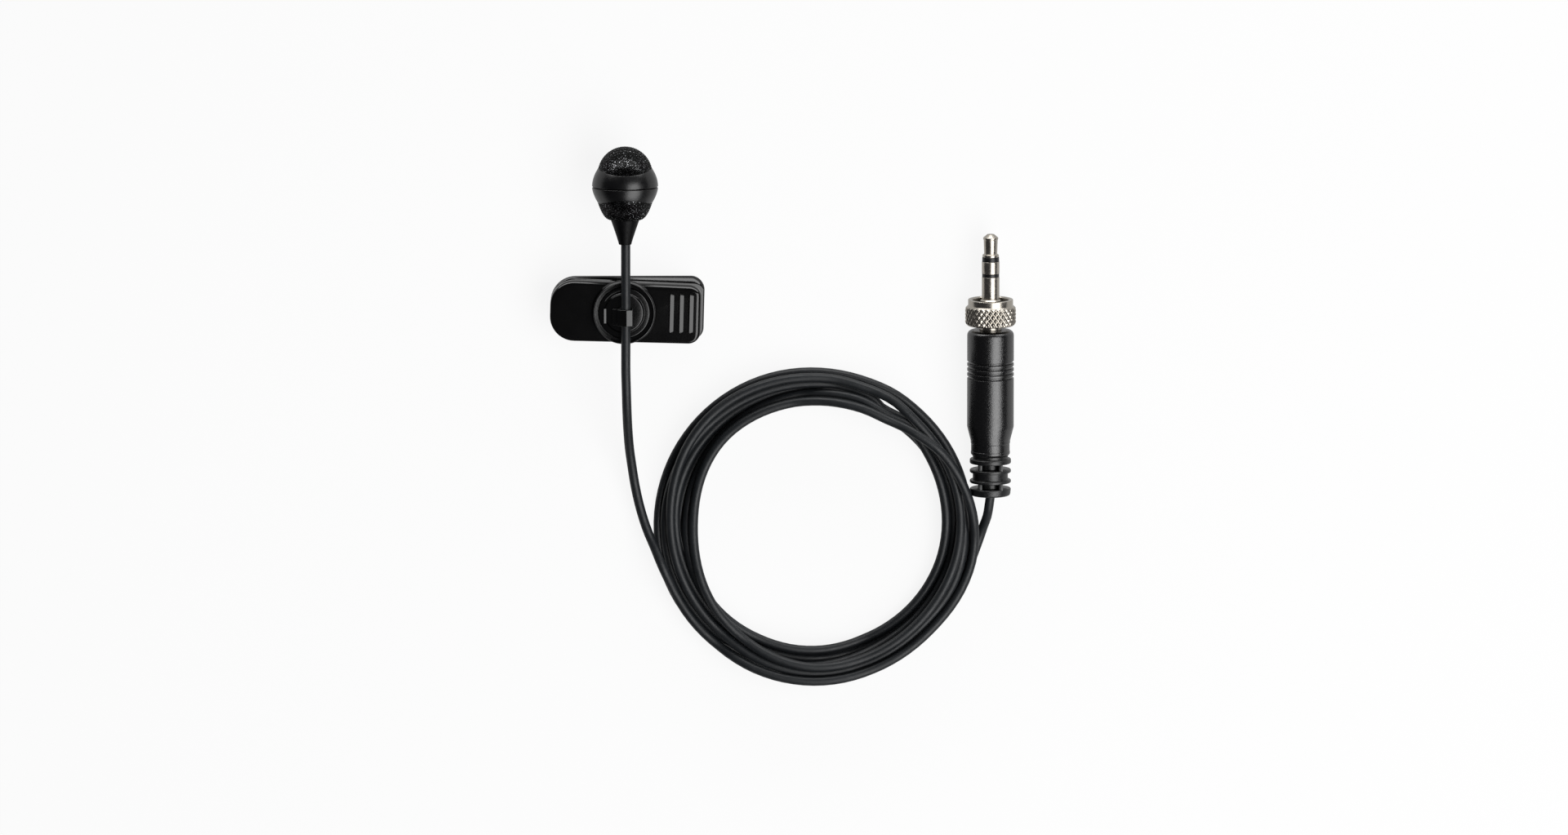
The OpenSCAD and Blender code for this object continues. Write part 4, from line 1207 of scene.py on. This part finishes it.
    def back(self) -> None:
        """Shapes the rear jaw with its knuckles."""
        middle, reach, top = 3, 11, -self.rear_drop
        end, width = self.rear_start + self.rear_length, self.width + 2 * self.margin
        points = [
            Vector((x, y + self.bow * max(0.0, y) / self.width * max(0.0, 1 - ((x - middle) / reach) ** 2)))
            for x, y in self.outline(self.rear_start, end, width)
        ]
        jaw = Workpiece()
        self.plate(jaw, points, top - self.rear_thick, top, self.rear_round, fullness=1.55)
        jaw.steady()
        self.part("rear_jaw_plate", jaw, "rear_jaw", rear=True)
        self.knuckles("rear_knuckles", self.rear_knuckle, top - self.overlap, self.rear, Body.REAR_JAW)

    def spring(self) -> None:
        """Winds the torsion spring round the pin, its legs set to the jaws' opening; it rides on no body."""
        angle = 360 * self.spring_turns + 178 - self.splay
        width = self.spring_pitch * angle / 360
        steps = round(angle / 10)
        turns = [(k / steps, math.radians(90 + angle * k / steps)) for k in range(steps + 1)]
        ways = [Vector((math.sin(a), 0, -math.cos(a))) for _, a in turns]
        r = self.spring_radius
        line = [Vector((r * math.cos(a), width * (share - 0.5), r * math.sin(a))) for share, a in turns]
        line = [line[0] + self.spring_leg * ways[0], *line, line[-1] - self.spring_leg * ways[-1]]
        wound = curve_mesh(round_curve("clip_spring", [line], self.wire, 4))
        spring = make_piece("clip_spring", wound, self.hinge, SPRING_STEEL, None, "jaw_spring", crease=180)
        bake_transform(spring)

    def build(self) -> None:
        """Builds the clip and dresses its pin."""
        self.front()
        self.back()
        self.spring()
        dress(SPRING_STEEL, "hinge_pin")


# ---------- Lead ----------


@dataclass
class Lead:
    """The microphone's lead, one cord from the boot through the hook and the coil to the plug."""

    diameter: float = 1.85
    boot: Spot = BOOT_END
    droop: float = DROOP
    relief: Spot = RELIEF_END
    coil_middle: Point = (38.0, -57.6)
    coil_start: float = 205.0
    coil_turns: float = 7.375
    straight: float = 1.85
    per_turn: int = 96
    lean: float = 0.25
    step: float = 1.6
    hump: float = 0.022
    lead_route: tuple[Spot, ...] = (
        (-0.05, -4.3, 11.3), (-0.05, -8, 11.3), (-0.05, -12, 11.3), (-0.05, -16, 11.3),
        (-0.05, -20.4, 11.3), (-0.05, -24.8, 11.25), (0.05, -28.8, 10.9), (0.15, -32.8, 9.8),
        (0.3, -36.8, 7.9), (0.6, -41.2, 5.6), (1.1, -45.2, 4.0), (1.7, -49.2, 3.1),
        (2.5, -53, 2.7), (3.4, -56.2, 2.7), (4.4, -59, 2.95), (5.9, -62.4, 3.3), (7.2, -65.4, 3.4),
    )
    tail_route: tuple[Spot, ...] = (
        (69.5, -62.4, 1.0), (70.4, -59.8, 1.3), (71.1, -57.5, 2.2), (71.8, -55.3, 3.6)
    )
    # Where the cord runs in the coil, as (turns from its start, radius): loose turns, then packed ones
    turns_laid: tuple[Point, ...] = (
        (0.0, 31.3), (0.18, 30.6), (0.306, 30.4), (0.403, 31.5), (0.514, 29.6), (0.556, 27.8),
        (0.597, 26.6), (0.681, 25.85), (0.806, 26.0), (0.931, 24.7), (1.056, 26.2), (1.139, 27.4),
        (1.18, 27.8), (1.306, 27.6), (1.43, 28.5), (1.597, 29.6), (1.68, 30.4), (1.806, 31.1),
        (1.93, 29.2), (2.056, 28.6), (2.18, 29.2), (2.306, 28.7), (2.383, 29.4), (2.51, 28.7),
        (2.63, 27.5), (2.76, 26.7), (2.88, 26.1), (3.01, 26.1), (3.13, 25.2), (3.26, 24.7), (3.38, 25.3),
        (3.51, 26.4), (3.63, 28.5), (3.76, 29.6), (3.88, 30.3), (4.01, 30.1), (4.13, 28.6), (4.26, 27.1),
        (4.38, 27.2), (4.50, 27.5), (4.63, 28.0), (4.75, 28.3), (4.88, 28.7), (5.00, 27.5), (5.13, 26.9),
        (5.25, 26.5), (5.38, 26.3), (5.50, 26.6), (5.63, 26.0), (5.75, 27.0), (5.88, 27.4), (6.00, 27.7),
        (6.13, 28.3), (6.25, 29.3), (6.38, 30.0), (6.50, 30.2), (6.63, 30.6), (6.75, 31.4), (6.88, 31.7),
        (7.00, 31.6), (7.13, 30.2), (7.25, 29.9), (7.38, 31.3),
    )
    gap_angle: float = 29.5
    gap_radius: float = 28.3
    gap_reach: float = 8.0
    gap_push: float = 0.85
    gap_soft: float = 0.15
    gap_width: float = 1.7

    def radius_at(self, turns: float) -> float:
        """Returns the coil's radius at a number of turns from its start.

        It is smooth through the laid knots, and the strands part round the gap.
        """
        knots = self.turns_laid
        i = next((k for k in range(1, len(knots)) if turns < knots[k][0]), len(knots) - 1)
        (x0, y0), (x1, y1) = knots[i - 1], knots[i]

        def slope(k: int) -> float:
            """Returns the curve's slope at a knot."""
            low, high = max(k - 1, 0), min(k + 1, len(knots) - 1)
            return (knots[high][1] - knots[low][1]) / (knots[high][0] - knots[low][0])

        width = x1 - x0
        t = max(0.0, min(1.0, (turns - x0) / width))
        ease = t * t * (3 - 2 * t)
        value = y0 * (1 - ease) + y1 * ease + width * t * (1 - t) * (slope(i - 1) * (1 - t) - slope(i) * t)
        angle = (90 - self.coil_start - 360 * turns + 180 - self.gap_angle) % 360 - 180
        part = math.exp(-((angle / self.gap_reach) ** 2))
        off = value - self.gap_radius
        push = self.gap_push * off / math.hypot(off, self.gap_soft)
        return value + part * push * math.exp(-((off / self.gap_width) ** 2))

    def coil(self) -> list[Vector]:
        """Returns the coil's points on the surface, from the lead's side to the tail's."""
        count = round(self.coil_turns * self.per_turn)
        x, y = self.coil_middle
        points = []
        for k in range(count + 1):
            turns = self.coil_turns * k / count
            a = math.radians(self.coil_start) + FULL_TURN * turns
            r = self.radius_at(turns)
            points.append(Vector((x + r * math.cos(a), y + r * math.sin(a), self.diameter / 2)))
        return points

    def settle(self, line: list[Vector]) -> list[Vector]:
        """Lays the cord from the plug's end, each stretch on whatever lies under it.

        Args:
            line: The cord's points from the plug to the microphone, at their lowest heights.

        Returns:
            The points, raised over what they cross in long low humps.
        """
        spots = np.array([p[:2] for p in line])
        floor = np.array([p[2] for p in line])
        steps = np.linalg.norm(np.diff(spots, axis=0), axis=1)
        along = np.concatenate([[0.0], np.cumsum(steps)])
        apart = np.linalg.norm(spots[:, None] - spots[None], axis=2)
        behind = along[:, None] - along[None]
        near, passes = 6 * self.diameter, 12
        under = (behind > near) & (apart < self.diameter)
        lift = np.where(under, np.sqrt(np.maximum(self.diameter**2 - apart**2, 0)), -np.inf)
        hump = self.hump * behind**2
        height = floor.copy()
        for _ in range(passes):
            resting = np.maximum(floor, (height[None] + lift).max(axis=1))
            height = floor + np.max((resting - floor)[None] - hump, axis=1)
        return [Vector((x, y, z)) for (x, y), z in zip(spots, height)]

    def lay(self) -> tuple[bpy.types.Object, float]:
        """Lays the whole lead as one round cord and returns it with its length in metres."""
        boot, relief = Vector(self.boot), Vector(self.relief)
        nose = Vector((0, -math.cos(math.radians(self.droop)), math.sin(math.radians(self.droop))))
        start = [boot, boot + self.straight * nose, *(Vector(p) for p in self.lead_route)]
        end = [*(Vector(p) for p in self.tail_route), relief - Vector((self.lean, self.straight, 0)), relief]
        coil = self.coil()
        lead_in = smooth_line([*start, coil[0]], self.step)
        tail_out = smooth_line([coil[-1], *end], self.step)
        laid = self.settle([*reversed(tail_out), *reversed(coil[1:-1]), *reversed(lead_in)])
        line = [spot * MM for spot in reversed(laid)]
        curve = round_curve("microphone_lead", [line], self.diameter * MM, 6)
        cord = bpy.data.objects.new("microphone_lead", curve)
        bpy.context.collection.objects.link(cord)
        curve.materials.append(JACKET_PVC.make())
        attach(cord, Body.MICROPHONE.value)
        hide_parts("cord_lead", "cord_coil", "cord_tail")
        length = sum((b - a).length for a, b in zip(line, line[1:]))
        top = max(p.z for p in line[len(lead_in) :]) / MM
        log.info("microphone_lead: %.3f m long, coil up to %.2f mm high", length, top)
        return cord, length


# ---------- Plug ----------


@dataclass
class Plug:
    """The plug: slotted relief, textured body, knurled locking nut and three-contact pin."""

    end: Spot = RELIEF_END
    relief_radius: float = 4.1
    relief_core: float = 2.25
    bore: float = LEAD_BORE
    body_start: float = 8.3
    body_end: float = 33.6
    body_radius: float = 4.65
    rear_radius: float = 3.9
    body_bore: float = 3.4
    shank: float = 2.15
    groove_back: float = 9.65
    grooves: int = 4
    groove_pitch: float = 1.0
    groove_width: float = 0.52
    groove_depth: float = 0.4
    nut_start: float = 34.6
    nut_web: float = 36.4
    nut_knurl_end: float = 38.5
    nut_end: float = 39.8
    nut_radius: float = 5.05
    collar_radius: float = 4.475
    thread_radius: float = 3.6
    pin_radius: float = 1.75
    sleeve_end: float = 44.3
    ring_start: float = 45.0
    ring_end: float = 47.4
    tip_start: float = 48.3
    length: float = 52.9
    diamonds: int = 30
    diamond_length: float = 1.4625
    knurl_depth: float = 0.3
    pieces: list = field(default_factory=list)

    @property
    def place(self) -> Matrix:
        """Where local Z runs from the relief's lead end to the pin's tip."""
        return placed(self.end, -90)

    def keep(self, name: str, work: Workpiece, finish: Finish, node: str, body: Body, **how: float) -> None:
        """Makes one piece of the plug and notes it as one that is on the lead's end."""
        self.pieces.append(make_piece(name, work, self.place, finish, body, node, **how))

    def turn(self, name: str, corners: list[Corner], finish: Finish, node: str, steps: int = 96) -> None:
        """Turns one round piece from its corners; one that starts on the axis ends there."""
        self.keep(name, turned(corners, steps, closed=corners[0][0] > 0), finish, node, Body.MICROPHONE)

    def relief(self) -> None:
        """Builds the strain relief: flanges with windows framed by bridges between them."""
        r, core, bore, end = self.relief_radius, self.relief_core, self.bore, self.body_start
        neck, sleeve = r - 0.6, 2.23
        corners = [
            (bore, 0.5, 0), (bore, 0.3, 0.08), (r - 0.15, 0.3, 0.45), (r, 1.8, 0.22), (core, 1.8, 0.15),
            (core, 2.9, 0.15), (r, 2.9, 0.2), (r, 3.5, 0.2), (neck, 3.5, 0.1), (neck, 4.95, 0.1),
            (r, 4.95, 0.2), (r, 5.6, 0.2), (core, 5.6, 0.15), (core, 6.8, 0.15), (r, 6.8, 0.2),
            (r, 7.75, 0.25), (neck, 7.75, 0.1), (neck, end, 0.0), (sleeve, end, 0.0),
            (sleeve, end + 1.5, 0.0), (bore, end + 1.5, 0.0),
        ]
        work = turned(corners, steps=112)
        bridge_x, bridge_width = 2.05, 0.8
        crown = math.sqrt(r**2 - (bridge_x + bridge_width / 2) ** 2)
        foot = 0.9
        for low, high in ((1.6, 3.0), (5.5, 6.9)):
            for x in (-bridge_x, bridge_x):
                for side in (-1, 1):
                    middle = (x, side * (crown + foot) / 2, (low + high) / 2)
                    work.bar((bridge_width, crown - foot, high - low), middle, radius=0.1, segments=2)
        self.keep("slotted_relief", work, RELIEF_RUBBER, "strain_relief", Body.MICROPHONE)

    def body(self) -> None:
        """Turns the plug's body with its grip grooves."""
        rear, r, start, end = self.rear_radius, self.body_radius, self.body_start, self.body_end
        corners = [
            (2.25, start, 0), (rear - 0.35, start, 0.1), (rear, start + 0.45, 0.15),
            (rear, start + 0.9, 0.05), (rear - 0.05, start + 0.98, 0.03), (rear - 0.05, start + 2.5, 0.04),
            (rear + 0.02, start + 2.6, 0.05), (rear + 0.04, start + 3.1, 0.8), (r, start + 5.9, 1.5),
        ]
        floor = r - self.groove_depth
        for i in range(self.grooves):
            low = end - self.groove_back + i * self.groove_pitch
            high = low + self.groove_width
            corners += [
                (r, low, 0.06), (floor, low + 0.08, 0.09), (floor, high - 0.08, 0.09), (r, high, 0.06),
            ]
        hole = self.shank + 0.03
        corners += [
            (r, end, 1.0), (self.shank + 0.25, end, 0.12), (hole, end - 0.25, 0), (hole, end - 0.6, 0),
            (self.body_bore, end - 0.6, 0), (self.body_bore, start + 2.5, 0), (2.25, start + 2.5, 0),
        ]
        self.turn("plug_shell", corners, PLUG_ABS, "plug_body", steps=144)

    def knurl_radius(self, angle: float, station: float) -> float:
        """Returns the radius of the diamond knurl: small pyramids between two crossing sets of grooves."""
        turn = self.diamonds * angle / FULL_TURN
        rise = (station - self.nut_start) / self.diamond_length
        slope = max(abs((turn + rise) % 1 - 0.5), abs((turn - rise) % 1 - 0.5))
        blunt = 0.2
        return self.nut_radius - self.knurl_depth * max(0.0, 2 * (1 + blunt) * slope - blunt)

    def nut(self) -> None:
        """Turns the nut, then presses the diamond knurl into its rim."""
        chamfer, rows = 0.45, 32
        low, high, end = self.nut_start, self.nut_knurl_end, self.nut_end
        collar, thread, shank = self.collar_radius, self.thread_radius, self.shank + 0.06
        rim = [(self.nut_radius, low + (high - low) * k / rows) for k in range(rows + 1)]
        front = rounded([
            (self.nut_radius, high, 0), (collar + 0.1, high, 0.1), (collar, high + 0.12, 0.05),
            (collar, end, 0.14), (thread + 0.25, end, 0.05), (thread, end - 0.25, 0.0),
            (thread, end - 0.26, 0.0),
        ])
        threads, pitch, depth = 5, 0.5, 0.22
        bore = []
        for i in range(threads):
            top = end - 0.45 - i * pitch
            bore += [(thread, top), (thread + depth, top - pitch * 0.35), (thread, top - pitch * 0.7)]
        back = rounded([
            (thread, self.nut_web + 0.1, 0), (thread, self.nut_web, 0.1), (shank, self.nut_web, 0.05),
            (shank, low, 0.08), (self.nut_radius - 0.5, low, 0),
        ])
        work = Workpiece()
        work.spin([*rim, *front[1:], *bore, *back], steps=self.diamonds * 12)
        for vert in work.mesh.verts:
            radius = math.hypot(vert.co.x, vert.co.y)
            if radius < collar + 0.12 or vert.co.z > high + SEAM:
                continue
            angle = math.atan2(vert.co.y, vert.co.x) % FULL_TURN
            edge = min(vert.co.z - low, high - vert.co.z)
            limit = self.nut_radius - max(0.0, chamfer - edge)
            wanted = min(self.knurl_radius(angle, vert.co.z), limit)
            vert.co.x, vert.co.y = vert.co.x * wanted / radius, vert.co.y * wanted / radius
        self.keep("knurled_nut", work, BRIGHT_NICKEL, "locking_nut", Body.NUT, crease=50)

    def pin(self) -> None:
        """Turns the sleeve, ring and tip contacts and the two insulators between them."""
        r, shank = self.pin_radius, self.shank
        self.turn("sleeve_contact", [
            (1.3, 26.2, 0), (3.38, 26.2, 0.1), (3.38, 33.0, 0), (shank, 33.0, 0), (shank, 36.8, 0.05),
            (2.95, 36.8, 0.08), (2.95, 37.55, 0.08), (2.0, 37.55, 0.05), (2.0, 39.55, 0.05), (r, 39.8, 0.1),
            (r, self.sleeve_end, 0.06), (1.3, self.sleeve_end, 0),
        ], BRIGHT_NICKEL, "plug_sleeve")
        self.turn("ring_band", [
            (0.8, 24.6, 0), (1.02, 24.6, 0), (1.02, self.ring_start, 0), (r, self.ring_start, 0.06),
            (r, self.ring_end, 0.08), (0.8, self.ring_end, 0),
        ], BRIGHT_NICKEL, "ring_contact")
        recess, gap = r - 0.05, 0.01
        for name, node, bore, tube, start, low, high, narrower in (
            ("rear_insulator", "ring_insulator", 1.04, 1.28, 25.6, self.sleeve_end, self.ring_start, 0.0),
            ("front_insulator", "tip_insulator", 0.5, 0.78, 23.6, self.ring_end, self.tip_start, 0.03),
        ):
            self.turn(name, [
                (bore, start, 0), (tube, start, 0), (tube, low + gap, 0), (recess, low + gap, 0.04),
                (recess - narrower, high - gap, 0.04), (bore, high - gap, 0),
            ], BLACK_ACETAL, node)
        skirt, waist, end = self.tip_start + 0.6, self.length - 1.0, self.length
        self.turn("tip_contact_piece", [
            (0, 22.6, 0), (0.48, 22.6, 0), (0.48, self.tip_start, 0), (r - 0.12, self.tip_start, 0.08),
            (r - 0.14, skirt - 0.12, 0.12), (r - 0.45, skirt + 0.02, 0.12), (r - 0.36, waist - 0.2, 0.3),
            (r - 0.24, waist + 0.08, 0.1), (r - 0.26, waist + 0.3, 0.15), (0.72, end - 0.04, 0.12),
            (0.5, end, 0.1), (0, end, 0),
        ], BRIGHT_NICKEL, "plug_tip")

    def build(self) -> None:
        """Builds the plug and dresses what it holds."""
        self.relief()
        self.body()
        self.nut()
        self.pin()
        dress(SPRING_STEEL, "nut_washer")
        dress(GOLD_FLASH, "solder_lugs", "crimp_ring")
        dress(JACKET_PVC, "plug_cable_end")
        dress(WIRE_PVC, "plug_wires")


# ---------- Studio ----------


@dataclass
class Studio:
    """A pale floor, a soft overhead light and the camera above."""

    aim: Spot = (31.35, -36.0, 0.0)
    lean: float = 9.5
    view_width: float = 312.2
    lens: float = 500.0
    sensor: float = 36.0
    floor_size: float = 6000.0
    floor_glow: float = 0.88
    mirrored_glow: float = 0.6
    paper: str = "#f2f2f2"
    white: str = "#ffffff"
    ceiling: str = "#3e3e40"
    # Each soft box: lean towards +X and +Y in degrees, distance, width and length, radiance
    boxes: tuple[tuple, ...] = (
        ("side_box", 30.5, -14.0, 900.0, 700.0, 1310.0, 3.6),
        ("back_box", 0.0, 80.0, 1500.0, 3000.0, 640.0, 4.4),
    )

    def camera(self) -> None:
        """Places the camera, leaning a little towards the microphone's head."""
        distance = self.view_width * self.lens / self.sensor
        lean = math.radians(self.lean)
        data = bpy.data.cameras.new("camera")
        data.lens, data.sensor_width = self.lens, self.sensor
        data.clip_start, data.clip_end = 0.01, 20.0
        camera = bpy.data.objects.new("camera", data)
        aim = Vector(self.aim)
        camera.location = (aim + distance * Vector((0, math.sin(lean), math.cos(lean)))) * MM
        camera.rotation_euler = (-lean, 0, 0)
        bpy.context.collection.objects.link(camera)
        bpy.context.scene.camera = camera

    def floor(self) -> None:
        """Lays the floor: white to the camera, dimmer in reflections, and pale paper to the light."""
        work = Workpiece()
        bmesh.ops.create_grid(work.mesh, x_segments=1, y_segments=1, size=self.floor_size / 2 * MM)
        data = work.data("floor")
        floor = bpy.data.objects.new("floor", data)
        bpy.context.collection.objects.link(floor)
        material = bpy.data.materials.new("white_paper")
        material.use_nodes = True
        tree = material.node_tree
        tree.nodes.clear()

        def mix(operation: str, first: Socket, second: Socket | float) -> Socket:
            """Returns what an operation makes of two values."""
            return add_node(tree, "ShaderNodeMath", {0: first, 1: second}, operation=operation).outputs[0]

        rays = add_node(tree, "ShaderNodeLightPath").outputs
        mirrored = mix("MAXIMUM", rays["Is Glossy Ray"], rays["Is Transmission Ray"])
        watched = mix("MAXIMUM", mirrored, rays["Is Camera Ray"])
        share = mix("MULTIPLY", watched, self.floor_glow)
        settings = {0: mirrored, 1: 0.0, 2: 1.0, 3: 1.0, 4: self.mirrored_glow}
        strength = add_node(tree, "ShaderNodeMapRange", settings).outputs[0]
        paper = add_node(tree, "ShaderNodeBsdfDiffuse", {"Color": linear(self.paper)}).outputs[0]
        white = {"Color": linear(self.white), "Strength": strength}
        glow = add_node(tree, "ShaderNodeEmission", white).outputs[0]
        mixed = add_node(tree, "ShaderNodeMixShader", {0: share, 1: paper, 2: glow}).outputs[0]
        add_node(tree, "ShaderNodeOutputMaterial", {"Surface": mixed})
        data.materials.append(material)

    def lights(self) -> None:
        """Hangs the soft boxes, a key to the right and a wide one behind, under a dim ceiling."""
        for name, lean_x, lean_y, distance, width, length, radiance in self.boxes:
            data = bpy.data.lights.new(name, "AREA")
            data.shape, data.size, data.size_y = "RECTANGLE", width * MM, length * MM
            data.energy = radiance * math.pi * width * length * MM**2
            lamp = bpy.data.objects.new(name, data)
            turn = placed((0, 0, 0), lean_x, "Y") @ placed((0, 0, 0), -lean_y)
            away = turn @ Vector((0, 0, distance))
            lamp.matrix_world = Matrix.Translation((Vector(self.aim) + away) * MM) @ turn
            bpy.context.collection.objects.link(lamp)
        world = bpy.data.worlds.new("studio")
        bpy.context.scene.world = world
        world.use_nodes = True
        tree = world.node_tree
        tree.nodes.clear()
        seen = add_node(tree, "ShaderNodeLightPath").outputs["Is Camera Ray"]
        colours = {0: seen, 6: linear(self.ceiling), 7: linear(self.white)}
        sky = add_node(tree, "ShaderNodeMix", colours, data_type="RGBA").outputs[2]
        glow = add_node(tree, "ShaderNodeBackground", {"Color": sky, "Strength": 1.0})
        add_node(tree, "ShaderNodeOutputWorld", {"Surface": glow.outputs[0]})

    def build(self) -> None:
        """Sets up the studio."""
        bpy.context.scene.view_settings.view_transform = "Standard"
        self.camera()
        self.floor()
        self.lights()


def main() -> None:
    """Builds the microphone and the studio."""
    logging.basicConfig(level=logging.INFO, format="%(message)s")
    Studio().build()
    lead = Lead()
    cord, length = lead.lay()
    Head().build()
    Holder().build()
    Clip().build()
    plug = Plug()
    plug.build()
    Vector(lead.boot) * MM


if __name__ == "__main__":
    main()
